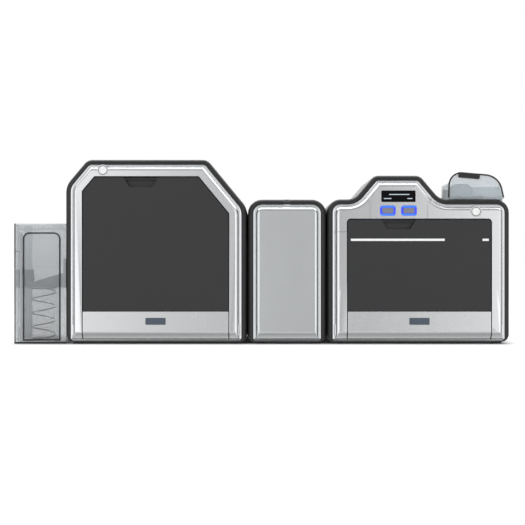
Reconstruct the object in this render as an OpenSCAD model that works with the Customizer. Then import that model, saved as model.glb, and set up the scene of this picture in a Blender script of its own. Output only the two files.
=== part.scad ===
/* [Housings] */
// Depth of the machine, front face to back covers
depth = 235; // [230:1:245]
// Wall thickness of the housing shells
wall = 3; // [2.5:0.25:3.5]
// Gap between neighbouring modules
module_gap = 1.5; // [1:0.25:2.5]
// Height of the rubber feet
foot_h = 3; // [2:0.5:4]
// Thickness of a shell's floor
floor_t = 2.7; // [2.4:0.1:3]
// Width of the rolled rim at the front of a shell
rim_w = 9; // [8.5:0.25:9.5]
// How far the rolled rims stand behind the front face
rim_set = 13.5; // [12.5:0.25:14.5]
// Height of the seam between lower shell and top shell
seam_z = 222; // [221:0.5:226]
// Thickness of the back covers
cover_t = 3; // [2.5:0.25:4]

/* [Laminator] */
// Width of the laminator
lam_w = 309; // [304:1:320]
// Height of the laminator
lam_h = 314; // [310:1:320]
// Width of the slanted top left corner
lam_left_cut_w = 37; // [34:1:40]
// Height of the slanted top left corner
lam_left_cut_h = 44; // [41:1:47]
// Width of the slanted top right corner
lam_right_cut_w = 67.5; // [64:0.5:71]
// Height of the slanted top right corner
lam_right_cut_h = 82; // [79:1:85]
// Distance of the laminator door from the outline of its shell
lam_door_inset = 30.3; // [29.5:0.1:31]
// Radius of a laminate supply roll
laminate_roll_r = 28; // [22:1:30]

/* [Flipper] */
// Width of the flipper
flip_w = 133.5; // [131:0.5:140]
// Height of the flipper
flip_h = 246; // [244:1:250]
// Width of the lid in the top of the flipper
lid_w = 84; // [76:1:85]
// Length of the flipper lid from its front edge to its hinge
lid_len = 160; // [150:1:175]
// Angle that the flipper lid opens
lid_swing = 75; // [60:1:80]

/* [Printer] */
// Width of the printer
prn_w = 311; // [307:1:320]
// Height of the printer at its shoulders
prn_h = 246.5; // [245:0.5:250]
// Rise of the crown above the shoulders
crown_rise = 40.5; // [38:0.5:43]
// Width of the crown's flat top
crown_w = 78; // [76:0.5:82]
// Middle of the crown from the printer's left side
crown_x = 119.5; // [118:0.5:121]
// Width of each slope beside the crown
crown_slope_w = 34.2; // [33:0.1:35.5]
// Distance of the printer door from the printer's sides
prn_door_inset = 33.4; // [32.5:0.1:34.5]
// Height of the printer door's top edge
prn_door_top = 212; // [210:0.5:213]
// Width of the display window
display_w = 57.3; // [54:0.1:60]
// Height of the display window
display_h = 18.7; // [17:0.1:20]
// Width of an option button with its lit ring
option_w = 25.7; // [24:0.1:27]
// Height of an option button with its lit ring
option_h = 16.5; // [15:0.1:17.5]
// Radius of a film or ribbon supply roll
ribbon_roll_r = 22; // [16:1:24]

/* [Doors and buttons] */
// Height of the silver band at the bottom of a door, above its rounded bottom
band_h = 31.5; // [26:0.5:36]
// Radius of the band's rounded bottom, which is centred on the hinge
hinge_r = 16; // [15:0.25:17]
// Height of a door's hinge axis
hinge_z = 24; // [23:0.25:25]
// Thickness of the silver door band
band_t = 3.5; // [3:0.25:4]
// Thickness of a dark door panel
panel_t = 4; // [3:0.25:5]
// How far a door panel lies behind the front face
panel_set = 1.5; // [1:0.25:2]
// Gap between a door and its frame
door_gap = 0.7; // [0.5:0.1:1]
// Radius of a door's hinge pins
door_pin_r = 2.5; // [2:0.25:3]
// Top width of a finger notch
notch_w = 58; // [50:1:62]
// Height of a finger notch
notch_h = 16; // [14:1:18]
// Depth of a finger notch
notch_d = 7; // [6:0.5:8]
// Radius of a round power button
power_r = 7; // [6:0.25:7.5]
// Travel of a round power button
power_travel = 1.5; // [1:0.1:2]

/* [Card path] */
// Height of the card path
card_z = 185; // [182:0.5:187]
// Distance of the card path's middle from the front face
card_set = 57.5; // [56:0.5:59]
// Width of a card
card_w = 54; // [53:0.5:55]
// Gap between two rollers that grip a card
card_gap = 0.8; // [0.6:0.1:1]
// Radius of the card rollers
roller_r = 12; // [11:0.25:12.5]
// Radius of a roller's shaft
shaft_r = 3; // [2.5:0.25:3.5]
// Distance of the chassis plates from the front face
chassis_set = 97.5; // [97:0.5:100]
// Thickness of the chassis plates
chassis_t = 2; // [1.5:0.25:3]

/* [Output hopper] */
// Width of the output hopper
hop_w = 88; // [87:0.5:96]
// Height of the output hopper
hop_h = 205; // [200:1:212]
// Depth of the output hopper
hop_depth = 80; // [78:1:90]
// Distance of the output hopper from the front face
hop_set = 17.5; // [16:0.5:20]
// Wall thickness of the hoppers
hop_wall = 2; // [1.5:0.25:2.5]
// Height of the tray's underside
tray_z = 95.5; // [90:0.5:100]
// Travel of the output tray
tray_travel = 60; // [40:1:65]
// Outer diameter of the tray spring
spring_d = 43; // [36:1:48]
// Diameter of the spring's wire
wire_d = 2; // [1.6:0.1:2.4]
// Turns of the tray spring
spring_turns = 5; // [4:1:6]

/* [Input hopper] */
// Width of the input hopper lid
dome_w = 97; // [95:0.5:99]
// Height of the input hopper lid above the shoulders
dome_h = 46; // [43:0.5:48]
// Depth of the input hopper lid
dome_depth = 84; // [82:0.5:88]
// Distance of the input hopper lid from the front face
dome_set = 22.5; // [22:0.25:25]
// Distance of the input hopper lid from the printer's right side
dome_side = 7; // [6:0.5:9]
// Angle that the input hopper lid opens
dome_swing = 75; // [60:1:80]

/* [Fits] */
// Seating gap between fixed pieces
fit = 0.3; // [0.2:0.05:0.35]
// Running clearance of a shaft in its bore, on the radius
run = 0.05; // [0.03:0.01:0.08]

/* [Hidden] */
$fn = 48;
arc_steps = 5;
over = 1; // how far a cutter runs past the face that it cuts

// Planes from front to back
front_y = -depth / 2;
back_y = depth / 2;
rim_y = front_y + rim_set;
shell_back_y = back_y - cover_t;
bezel_back_y = front_y + 21;
card_y = front_y + card_set;
chassis_y = front_y + chassis_set;
chassis_back_y = chassis_y + chassis_t;

// Module positions from left to right
total_w = hop_w + lam_w + flip_w + prn_w + 2 * module_gap;
hop_x = -total_w / 2;
lam_x = hop_x + hop_w;
flip_x = lam_x + lam_w + module_gap;
prn_x = flip_x + flip_w + module_gap;
prn_right = prn_x + prn_w;

// Corner radii of the housings
foot_corner_r = 13;
lam_low_corner_r = 33;
lam_top_corner_r = 17;
flip_corner_r = 24;
prn_corner_r = 23;
crown_corner_r = 16;
crown_foot_r = 26;

crown_left = crown_x - crown_w / 2;
crown_right = crown_x + crown_w / 2;
crown_top = prn_h + crown_rise;

// Each corner is [x, z, radius], anticlockwise from the bottom left, and the first edge is the bottom one
lam_corners = [
    [0, foot_h, foot_corner_r],
    [lam_w, foot_h, foot_corner_r],
    [lam_w, lam_h - lam_right_cut_h, lam_low_corner_r],
    [lam_w - lam_right_cut_w, lam_h, lam_top_corner_r],
    [lam_left_cut_w, lam_h, lam_top_corner_r],
    [0, lam_h - lam_left_cut_h, lam_low_corner_r]
];
flip_corners = [
    [0, foot_h, foot_corner_r],
    [flip_w, foot_h, foot_corner_r],
    [flip_w, flip_h, flip_corner_r],
    [0, flip_h, flip_corner_r]
];
prn_corners = [
    [0, foot_h, foot_corner_r],
    [prn_w, foot_h, foot_corner_r],
    [prn_w, prn_h, prn_corner_r],
    [crown_right + crown_slope_w, prn_h, crown_foot_r],
    [crown_right, crown_top, crown_corner_r],
    [crown_left, crown_top, crown_corner_r],
    [crown_left - crown_slope_w, prn_h, crown_foot_r],
    [0, prn_h, prn_corner_r]
];

function unit(v) = v / norm(v);
function inward(a, b) = let (e = unit(b - a)) [-e.y, e.x];
function turned(v, a) = [v.x * cos(a) - v.y * sin(a), v.x * sin(a) + v.y * cos(a)];
function wrap(list, i) = list[(i + len(list)) % len(list)];
function xz(c) = [c.x, c.y];

// The corners moved inwards by d, and the bottom edge by bottom_d
function inset_corners(corners, d, bottom_d) = [
    for (i = [0:len(corners) - 1])
        let (
            here = xz(corners[i]),
            n1 = inward(xz(wrap(corners, i - 1)), here),
            n2 = inward(here, xz(wrap(corners, i + 1))),
            d1 = i == 1 ? bottom_d : d,
            d2 = i == 0 ? bottom_d : d,
            c = n1 * n2,
            s = 1 - c * c,
            p = here + n1 * (d1 - c * d2) / s + n2 * (d2 - c * d1) / s,
            convex = cross([n1.x, n1.y], [n2.x, n2.y]) > 0,
            r = convex ? max(corners[i][2] - d, 1) : corners[i][2] + d
        )
        [p.x, p.y, r]
];

// The outline's points, with each corner as an arc
function outline(corners) = [
    for (i = [0:len(corners) - 1])
        let (
            here = xz(corners[i]),
            n1 = inward(xz(wrap(corners, i - 1)), here),
            n2 = inward(here, xz(wrap(corners, i + 1))),
            turn = atan2(cross(n1, n2), n1 * n2),
            side = sign(turn),
            r = corners[i][2],
            middle = here + side * r * (n1 + n2) / (1 + n1 * n2)
        )
        for (k = [0:arc_steps]) middle - side * r * turned(n1, turn * k / arc_steps)
];

function inset_outline(corners, d, bottom_d) = outline(inset_corners(corners, d, bottom_d));
function with_radius(corners, r) = [for (c = corners) [c.x, c.y, r]];

// One ring of a lofted housing: a step is [inset, bottom inset, y]
function ring(corners, step) = [
    for (p = inset_outline(corners, step[0], step[1])) [p.x, step[2], p.y]
];

// Rings joined into one skin, closed by caps, or closed on itself as a tube
module loft(corners, steps, tube) {
    rings = [for (s = steps) ring(corners, s)];
    n = len(rings[0]);
    k_last = len(steps) - (tube ? 1 : 2);
    sides = [
        for (k = [0:k_last], i = [0:n - 1])
            let (k2 = (k + 1) % len(steps), i2 = (i + 1) % n)
            [k * n + i, k2 * n + i, k2 * n + i2, k * n + i2]
    ];
    caps = tube ? [] : [
        [for (i = [0:n - 1]) i],
        [for (i = [n - 1:-1:0]) (len(steps) - 1) * n + i]
    ];
    polyhedron([for (r = rings) each r], concat(sides, caps));
}

// A flat shape in x and z, made solid from y0 back to y1
module plate(y0, y1) {
    translate([0, y1, 0]) rotate([90, 0, 0]) linear_extrude(y1 - y0) children();
}

// A flat shape in y and z, made solid from x0 to x1
module bar(x0, x1) {
    translate([x0, 0, 0]) rotate([90, 0, 90]) linear_extrude(x1 - x0) children();
}

module rod(x, z, r, y0, y1) {
    plate(y0, y1) translate([x, z]) circle(r);
}

module cross_rod(y, z, r, x0, x1) {
    bar(x0, x1) translate([y, z]) circle(r);
}

module block(x0, x1, y0, y1, z0, z1) {
    translate([x0, y0, z0]) cube([x1 - x0, y1 - y0, z1 - z0]);
}

module round_rect(w, h, r) {
    for (sx = [-1, 1], sz = [-1, 1]) translate([sx * (w / 2 - r), sz * (h / 2 - r)]) circle(r);
    square([w - 2 * r, h], center = true);
    square([w, h - 2 * r], center = true);
}

// ---------- Housings ----------
rim_floor = floor_t; // bottom inset of the rolled rim
rim_stations = [0, 22.5, 45, 67.5, 90];
shell_steps = concat(
    [[0, 0, shell_back_y]],
    [for (a = rim_stations)
        [rim_w * (1 - cos(a)), rim_floor * (1 - cos(a)), rim_y + rim_w * (1 - sin(a))]],
    [
        [rim_w, rim_floor, rim_y + rim_w * 0.7],
        [wall, floor_t, rim_y + rim_w * 1.4],
        [wall, floor_t, shell_back_y]
    ]
);

slot_below = 4;
slot_above = 6;
slot_y0 = card_y - card_w / 2 - 4;
slot_y1 = card_y + card_w / 2 + 4;
dock_y = 50;
dock_heights = [40, 150];
dock_r = 4;

// The card slot in a side wall at x
module card_slot(x) {
    block(x - wall - over, x + wall + over, slot_y0, slot_y1, card_z - slot_below, card_z + slot_above);
}

module dock_holes(x) {
    for (z = dock_heights) cross_rod(dock_y, z, dock_r + run, x - wall - over, x + wall + over);
}

module shell(corners, x) {
    translate([x, 0, 0]) loft(corners, shell_steps, true);
}

module below_seam(x, w) {
    block(x - over, x + w + over, front_y, back_y, 0, seam_z);
}

module above_seam(x, w) {
    block(x - over, x + w + over, front_y, back_y, seam_z + fit, lam_h + dome_h);
}

module laminator_lower_shell() {
    color("#3a3a3a") difference() {
        intersection() {
            shell(lam_corners, lam_x);
            below_seam(lam_x, lam_w);
        }
        card_slot(lam_x);
        card_slot(lam_x + lam_w);
        dock_holes(lam_x + lam_w);
    }
}

module laminator_top_shell() {
    color("#3a3a3a") intersection() {
        shell(lam_corners, lam_x);
        above_seam(lam_x, lam_w);
    }
}

module flipper_lower_shell() {
    color("#3a3a3a") difference() {
        intersection() {
            shell(flip_corners, flip_x);
            below_seam(flip_x, flip_w);
        }
        card_slot(flip_x);
        card_slot(flip_x + flip_w);
        dock_holes(flip_x);
        dock_holes(flip_x + flip_w);
    }
}

// The flipper lid, its hinge and the opening that it covers
lid_gap = 0.4;
lid_t = wall;
lid_mid = flip_x + flip_w / 2;
lid_x0 = lid_mid - lid_w / 2;
lid_x1 = lid_mid + lid_w / 2;
lid_barrel_r = 3.5;
lid_pin_r = 1.5;
lid_hinge_y = rim_y + lid_len;
lid_hinge_z = flip_h - lid_barrel_r;
lid_lug_w = 6;
lid_pin_reach = 8;

module flipper_top_shell() {
    color("#3a3a3a") difference() {
        union() {
            difference() {
                intersection() {
                    shell(flip_corners, flip_x);
                    above_seam(flip_x, flip_w);
                }
                block(lid_x0 - lid_gap, lid_x1 + lid_gap, front_y,
                    lid_hinge_y + lid_barrel_r + lid_gap, flip_h - rim_w - lid_gap, flip_h + over);
            }
            for (x = [lid_x0 - lid_gap - lid_lug_w, lid_x1 + lid_gap])
                block(x, x + lid_lug_w, lid_hinge_y - 4, lid_hinge_y + 4, lid_hinge_z - 5, flip_h - over);
        }
        cross_rod(lid_hinge_y, lid_hinge_z, lid_pin_r, lid_x0 - 10, lid_x1 + 10);
    }
}

dent_w = 13;
dent_d = 1.2;

module flipper_lid() {
    top = [rim_y + rim_w, flip_h - rim_w];
    color("#4a4a4a") difference() {
        bar(lid_x0, lid_x1) difference() {
            union() {
                translate([top.x, flip_h - lid_t]) square([lid_hinge_y - top.x, lid_t]);
                intersection() {
                    translate(top) circle(rim_w);
                    translate([rim_y, top.y]) square(rim_w);
                }
                translate([lid_hinge_y, lid_hinge_z]) circle(lid_barrel_r);
            }
            translate(top) circle(rim_w - lid_t);
            translate([lid_hinge_y, lid_hinge_z]) circle(lid_pin_r + run);
        }
        // finger dent in the rolled front edge
        translate([lid_mid, rim_y + rim_w, flip_h - dent_d]) cylinder(h = dent_d + over, r = dent_w / 2);
    }
}

// The opening in the printer's top that the input hopper stands in
dome_x1 = prn_right - dome_side;
dome_x0 = dome_x1 - dome_w;
dome_y0 = front_y + dome_set;
dome_y1 = dome_y0 + dome_depth;
dome_z0 = prn_h + 0.5;
dome_z1 = prn_h + dome_h;
cup_gap = 1;
cup_x0 = dome_x0 + hop_wall + cup_gap;
cup_x1 = dome_x1 - hop_wall - cup_gap;
cup_y0 = dome_y0 + hop_wall + 3;
cup_y1 = dome_y1 - hop_wall - fit;
cup_z0 = card_z + 1;
cup_z1 = prn_h + 21.5;
cup_in_x0 = cup_x0 + hop_wall;
cup_in_x1 = cup_x1 - hop_wall - 0.8;

module printer_lower_shell() {
    color("#3a3a3a") difference() {
        intersection() {
            shell(prn_corners, prn_x);
            below_seam(prn_x, prn_w);
        }
        card_slot(prn_x);
        dock_holes(prn_x);
    }
}

module printer_top_shell() {
    color("#3a3a3a") difference() {
        intersection() {
            shell(prn_corners, prn_x);
            above_seam(prn_x, prn_w);
        }
        block(cup_x0 - fit, cup_x1 + fit, cup_y0 - fit, cup_y1 + fit, seam_z, prn_h + over);
    }
}

// ---------- Back covers ----------
vent_w = 34;
vent_slot = 3;
vent_pitch = 8;
screw_head_r = 3.5;
screw_head_t = 1.5;
screw_r = 1.6;
screw_len = 12;
screw_edge = 16;

// Places of a cover's screws as [x, z], two at its foot and two just under the seam
function cover_screws(x, w) = [
    for (sx = [x + screw_edge, x + w - screw_edge], z = [screw_edge + foot_h, seam_z - screw_edge]) [sx, z]
];

module vents(x, z, columns, rows) {
    for (c = [0:columns - 1], r = [0:rows - 1])
        block(x + (c - (columns - 1) / 2) * (vent_w + 8) - vent_w / 2,
            x + (c - (columns - 1) / 2) * (vent_w + 8) + vent_w / 2,
            shell_back_y - over, back_y + over,
            z + r * vent_pitch, z + r * vent_pitch + vent_slot);
}

module back_cover(corners, x, w) {
    color("#333333") difference() {
        plate(shell_back_y, back_y) translate([x, 0]) polygon(outline(corners));
        for (p = cover_screws(x, w)) {
            rod(p.x, p.y, screw_r, shell_back_y - over, back_y + over);
            rod(p.x, p.y, screw_head_r, back_y - screw_head_t, back_y + over);
        }
        children();
    }
}

// Power inlets and data socket in the back covers
inlet_w = 27.4;
inlet_h = 19.4;
inlet_z = 60;
inlet_depth = 22;
inlet_mouth = 7;
lam_inlet_x = lam_x + lam_w - 60;
prn_inlet_x = prn_x + 62;
data_x = prn_x + 112;
data_w = 15.4;
data_h = 13.2;
data_depth = 14;

module inlet_hole(x) {
    block(x - inlet_w / 2 - fit, x + inlet_w / 2 + fit, shell_back_y - over, back_y + over,
        inlet_z - inlet_h / 2 - fit, inlet_z + inlet_h / 2 + fit);
}

module rear_covers() {
    back_cover(lam_corners, lam_x, lam_w) {
        vents(lam_x + lam_w / 2, 205, 4, 5);
        inlet_hole(lam_inlet_x);
    }
    back_cover(flip_corners, flip_x, flip_w) vents(flip_x + flip_w / 2, 140, 2, 5);
    back_cover(prn_corners, prn_x, prn_w) {
        vents(prn_x + prn_w / 2, 150, 4, 8);
        inlet_hole(prn_inlet_x);
        block(data_x - data_w / 2 - fit, data_x + data_w / 2 + fit, shell_back_y - over, back_y + over,
            inlet_z - data_h / 2 - fit, inlet_z + data_h / 2 + fit);
    }
}

module screws() {
    color("#c8c8c8") for (x = [hop_x + 23.5, hop_x + 49.7, hop_x + 74])
        translate([x, hop_y0 + hop_wall + 5, hop_floor_z]) cylinder(h = 1.6, r = 2.6);
    color("#222222") for (m = [[lam_x, lam_w], [flip_x, flip_w], [prn_x, prn_w]], p = cover_screws(m[0], m[1])) {
        rod(p.x, p.y, screw_head_r - fit, back_y - screw_head_t, back_y - 0.2);
        rod(p.x, p.y, screw_r - 0.1, back_y - screw_len, back_y - screw_head_t + 0.1);
    }
}

// An inlet: a box open at the back, with three flat pins set behind its mouth
module inlet(x) {
    y0 = back_y - inlet_depth;
    difference() {
        block(x - inlet_w / 2, x + inlet_w / 2, y0, back_y, inlet_z - inlet_h / 2, inlet_z + inlet_h / 2);
        block(x - inlet_w / 2 + 1.5, x + inlet_w / 2 - 1.5, y0 + 3, back_y + over,
            inlet_z - inlet_h / 2 + 1.5, inlet_z + inlet_h / 2 - 1.5);
    }
    for (p = [[-7, -2], [0, 3], [7, -2]])
        block(x + p.x - 1, x + p.x + 1, y0 + 2, back_y - inlet_mouth, inlet_z + p.y - 2, inlet_z + p.y + 2);
}

module sockets() {
    y0 = back_y - data_depth;
    color("#181818") for (x = [lam_inlet_x, prn_inlet_x]) inlet(x);
    color("#b8b8b8") difference() {
        block(data_x - data_w / 2, data_x + data_w / 2, y0, back_y, inlet_z - data_h / 2, inlet_z + data_h / 2);
        block(data_x - data_w / 2 + 1, data_x + data_w / 2 - 1, y0 + 1, back_y + over,
            inlet_z - data_h / 2 + 1, inlet_z + data_h / 2 - 1);
    }
}

// ---------- Silver fronts ----------
bezel_steps = [
    [rim_w + fit, rim_floor + fit, bezel_back_y],
    [rim_w + fit, rim_floor + fit, front_y + 12],
    [rim_w + 2.6, rim_floor + 0.6, front_y + 10.5],
    [rim_w + 4.3, rim_floor + 0.8, front_y + 9],
    [rim_w + 7.3, rim_floor + 1, front_y + 3],
    [rim_w + 9.7, rim_floor + 1.2, front_y + 0.6],
    [rim_w + 10.8, rim_floor + 1.3, front_y]
];
bezel_wall = 2.7;
bezel_face_t = 3.5;
// The hollow behind a front follows its slopes in steps of [inset, inset of its floor, front end]
hollow_steps = [
    [rim_w + fit + bezel_wall, rim_floor + 3.8, front_y + 14.2],
    [rim_w + 6.4, rim_floor + 5.3, front_y + 9],
    [rim_w + 9.4, rim_floor + 9.8, front_y + bezel_face_t]
];
axis_y = front_y + hinge_r;
door_bottom = hinge_z - hinge_r;
band_top = hinge_z + band_h;
sill_z = door_bottom - 0.6;
hinge_ear_t = 5;
ear_gap = 0.5;
power_ring_w = 2.2;

lam_power = [lam_x + 65.4, lam_h - 19.2];
prn_power = [prn_right - 59.7, prn_h - 21.8];

// Cuts the front's lower edge round, on the doors' hinge axis
module round_under(x, w) {
    difference() {
        block(x - over, x + w + over, front_y - over, axis_y, 0, hinge_z);
        cross_rod(axis_y, hinge_z, hinge_r, x - 2 * over, x + w + 2 * over);
    }
}

module front_skin(corners, x, w) {
    difference() {
        translate([x, 0, 0]) loft(corners, bezel_steps, false);
        for (s = hollow_steps) plate(s[2], bezel_back_y + over) translate([x, 0])
            polygon(inset_outline(corners, s[0], s[1]));
        round_under(x, w);
    }
}

sill_r = 1;
function lam_door_corners(gap) =
    let (c = inset_corners(lam_corners, lam_door_inset - gap, sill_z - foot_h))
    concat(with_radius([c[0], c[1]], sill_r), with_radius([for (i = [2 : len(c) - 1]) c[i]], 3 + gap));

function prn_door_corners(gap) = [
    [prn_door_inset - gap, sill_z, sill_r],
    [prn_w - prn_door_inset + gap, sill_z, sill_r],
    [prn_w - prn_door_inset + gap, prn_door_top + gap, 6 + gap],
    [prn_door_inset - gap, prn_door_top + gap, 6 + gap]
];

// Blocks beside a door that hold its hinge pins
block_back_y = bezel_back_y;
module hinge_blocks(x, w, inset) {
    for (s = [[x + rim_w + 2, x + inset - door_gap], [x + w - inset + door_gap, x + w - rim_w - 2]])
        block(s[0], s[1], axis_y - 8, block_back_y, hinge_z - 10, hinge_z + 10);
}

// A pin's bore through both hinge blocks of a door
module pin_bore(x, w, r) {
    cross_rod(axis_y, hinge_z, r, x + rim_w + 6, x + w - rim_w - 6);
}

module power_boss(p) {
    rod(p.x, p.y, power_r + fit + power_ring_w, front_y + 0.2, front_y + 6);
}

module power_hole(p) {
    rod(p.x, p.y, power_r + fit, front_y - over, front_y + 10);
}

module laminator_bezel() {
    color("#c8cacc") difference() {
        union() {
            difference() {
                front_skin(lam_corners, lam_x, lam_w);
                plate(front_y - over, bezel_back_y + over) translate([lam_x, 0])
                    polygon(outline(lam_door_corners(door_gap)));
            }
            hinge_blocks(lam_x, lam_w, lam_door_inset);
            power_boss(lam_power);
        }
        pin_bore(lam_x, lam_w, door_pin_r);
        power_hole(lam_power);
    }
}

// The control panel fills the crown's flat face: its seams run up from the door and then out to the ridge
panel_half = 48.7;
panel_seam_z = prn_h - 7;
panel_inset = rim_w + 11;
panel_gap = 0.15;
module panel_shape(gap) {
    half = panel_half + gap;
    low = panel_seam_z - gap;
    intersection() {
        translate([prn_x, 0]) polygon(inset_outline(prn_corners, panel_inset - gap, rim_floor));
        translate([prn_x + crown_x + 1, 0]) polygon([
            [-half, prn_door_top - 2],
            [half, prn_door_top - 2],
            [half, low],
            [half + 30, low + 30],
            [half + 30, crown_top + 5],
            [-half - 30, crown_top + 5],
            [-half - 30, low + 30],
            [-half, low]
        ]);
    }
}

module printer_front() {
    difference() {
        front_skin(prn_corners, prn_x, prn_w);
        plate(front_y - over, bezel_back_y + over) translate([prn_x, 0])
            polygon(outline(prn_door_corners(door_gap)));
    }
}

module printer_bezel() {
    color("#c8cacc") difference() {
        union() {
            difference() {
                printer_front();
                plate(front_y - over, front_y + bezel_face_t + over) panel_shape(panel_gap);
            }
            hinge_blocks(prn_x, prn_w, prn_door_inset);
            power_boss(prn_power);
        }
        pin_bore(prn_x, prn_w, door_pin_r);
        power_hole(prn_power);
    }
}

display_at = [prn_x + crown_x + 0.5, prn_h + 4.1];
option_pitch = 35.7;
option_z = prn_h - 20.2;
option_places = [[display_at.x - option_pitch / 2, option_z], [display_at.x + option_pitch / 2, option_z]];
ring_w = 3.2;
module control_panel() {
    color("#c8cacc") plate(front_y, front_y + bezel_face_t) difference() {
        panel_shape(0);
        translate([prn_x, 0]) polygon(outline(prn_door_corners(door_gap)));
        translate(display_at) round_rect(display_w + 2 * fit, display_h + 2 * fit, 1.5);
        for (p = option_places) translate(p) round_rect(option_w + 2 * fit, option_h + 2 * fit, 4);
    }
}

module display_lens() {
    color("#0a0a0c") plate(front_y + 0.4, front_y + bezel_face_t) translate(display_at)
        round_rect(display_w, display_h, 1.2);
}

module button_light_rings() {
    color("#4a7dff") for (p = option_places) plate(front_y + 0.3, front_y + bezel_face_t) translate(p)
        difference() {
            round_rect(option_w, option_h, 3.8);
            round_rect(option_w - 2 * ring_w, option_h - 2 * ring_w, 2);
        }
}

button_gap = 0.25;
module option_button(p) {
    w = option_w - 2 * ring_w - 2 * button_gap;
    h = option_h - 2 * ring_w - 2 * button_gap;
    color("#7d7d88") {
        plate(front_y + 0.1, front_y + 5) translate(p) round_rect(w, h, 1.8);
        rod(p.x, p.y, 2.5, front_y + 5, front_y + 9);
    }
}

module left_option_button() {
    option_button(option_places[0]);
}

module right_option_button() {
    option_button(option_places[1]);
}

module power_button(p) {
    color("white") {
        rod(p.x, p.y, power_r, front_y, front_y + 5);
        rod(p.x, p.y, 3, front_y + 5, front_y + 9);
    }
}

module laminator_power_button() {
    power_button(lam_power);
}

module printer_power_button() {
    power_button(prn_power);
}

module flipper_front_panel() {
    color("#b5babd") front_skin(flip_corners, flip_x, flip_w);
}

// ---------- Doors ----------
notch_side = 9; // how much narrower a notch is at its bottom, on each side
badge_w = 35;
badge_h = 12.5;
badge_z = 39;
badge_d = 0.6;

module notch_shape(grow) {
    polygon([
        [-notch_w / 2 - grow, over],
        [-notch_w / 2 + notch_side - grow, -notch_h - grow],
        [notch_w / 2 - notch_side + grow, -notch_h - grow],
        [notch_w / 2 + grow, over]
    ]);
}

module door_panel(corners, x, notch_at) {
    y0 = front_y + panel_set;
    color("#434344") difference() {
        union() {
            plate(y0, y0 + panel_t) intersection() {
                translate([x, 0]) polygon(outline(corners));
                translate([x, band_top + 0.2]) square([lam_w + prn_w, lam_h]);
            }
            intersection() {
                plate(y0 + 1, y0 + notch_d + 2) translate([x, 0]) polygon(outline(corners));
                plate(y0 + 1, y0 + notch_d + 2) translate(notch_at) notch_shape(2);
            }
        }
        plate(y0 - over, y0 + notch_d) translate(notch_at) notch_shape(0);
    }
}

lam_notch = [lam_x + (lam_w - lam_right_cut_w + lam_left_cut_w) / 2 - 1.5, lam_h - lam_door_inset];
prn_notch = [prn_x + crown_x + 1, prn_door_top];

module laminator_door_panel() {
    door_panel(lam_door_corners(0), lam_x, lam_notch);
}

module printer_door_panel() {
    door_panel(prn_door_corners(0), prn_x, prn_notch);
}

// A band and its two hinge ears
module door_band(x0, x1) {
    color("#d5d8da") difference() {
        union() {
            bar(x0, x1) difference() {
                union() {
                    intersection() {
                        translate([axis_y, hinge_z]) circle(hinge_r);
                        translate([front_y, 0]) square([hinge_r, hinge_z]);
                    }
                    translate([front_y, hinge_z]) square([band_t, band_h]);
                }
                translate([axis_y, hinge_z]) circle(hinge_r - band_t);
            }
            for (x = [x0 + ear_gap, x1 - ear_gap - hinge_ear_t]) bar(x, x + hinge_ear_t) {
                translate([axis_y, hinge_z]) circle(hinge_r - band_t - 5);
                translate([front_y + 1, hinge_z - 4]) square([hinge_r - 1, 8]);
            }
        }
        cross_rod(axis_y, hinge_z, door_pin_r + run, x0 - over, x1 + over);
        // shallow place for a badge, left bare
        block((x0 + x1) / 2 - badge_w / 2, (x0 + x1) / 2 + badge_w / 2, front_y - over, front_y + badge_d,
            badge_z - badge_h / 2, badge_z + badge_h / 2);
    }
}

module laminator_door_band() {
    door_band(lam_x + lam_door_inset, lam_x + lam_w - lam_door_inset);
}

module printer_door_band() {
    door_band(prn_x + prn_door_inset, prn_right - prn_door_inset);
}

module pins() {
    color("#b0b0b0") {
        for (m = [[lam_x, lam_w, lam_door_inset], [prn_x, prn_w, prn_door_inset]]) {
            cross_rod(axis_y, hinge_z, door_pin_r, m[0] + rim_w + 6, m[0] + m[2] + ear_gap + hinge_ear_t);
            cross_rod(axis_y, hinge_z, door_pin_r, m[0] + m[1] - m[2] - ear_gap - hinge_ear_t,
                m[0] + m[1] - rim_w - 6);
        }
        cross_rod(lid_hinge_y, lid_hinge_z, lid_pin_r, lid_x0 - 6, lid_x0 + lid_pin_reach);
        cross_rod(lid_hinge_y, lid_hinge_z, lid_pin_r, lid_x1 - lid_pin_reach, lid_x1 + 6);
        cross_rod(dome_pin_y, dome_pin_z, dome_pin_r, dome_x0 + 1, cup_in_x0);
        cross_rod(dome_pin_y, dome_pin_z, dome_pin_r, cup_in_x1, dome_x1 - 2);
        translate([hop_pin_x, hop_pin_y, hop_door_z0 + 2]) cylinder(h = hop_door_h - 4, r = hop_pin_r);
    }
    // docking pins between the modules, with a head inside each wall
    reach = wall + 3;
    color("#8a8a8a") for (x = [lam_x + lam_w, flip_x + flip_w], z = dock_heights) {
        cross_rod(dock_y, z, dock_r, x - reach, x + module_gap + reach);
        cross_rod(dock_y, z, dock_r + 3, x - reach - 2, x - wall - 0.1);
        cross_rod(dock_y, z, dock_r + 3, x + module_gap + wall + 0.1, x + module_gap + reach + 2);
    }
}

foot_r = 9;
module rubber_feet() {
    edge = 19;
    color("#1c1c1c") for (m = [[lam_x, lam_w], [flip_x, flip_w], [prn_x, prn_w]],
        x = [m[0] + edge, m[0] + m[1] - edge], y = [rim_y + edge + 2, shell_back_y - edge])
        translate([x, y, 0]) cylinder(h = foot_h, r = foot_r);
}

// ---------- Drive parts shared by the modules ----------
gear_teeth = 24;
nip = 2 * roller_r + card_gap; // distance between the axes of two gripping rollers
gear_m = nip / gear_teeth;
// A tooth's corners: place along the pitch, and height over the pitch circle in modules
tooth = [[-0.28, -1.1], [-0.11, 0.8], [0.11, 0.8], [0.28, -1.1]];

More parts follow.
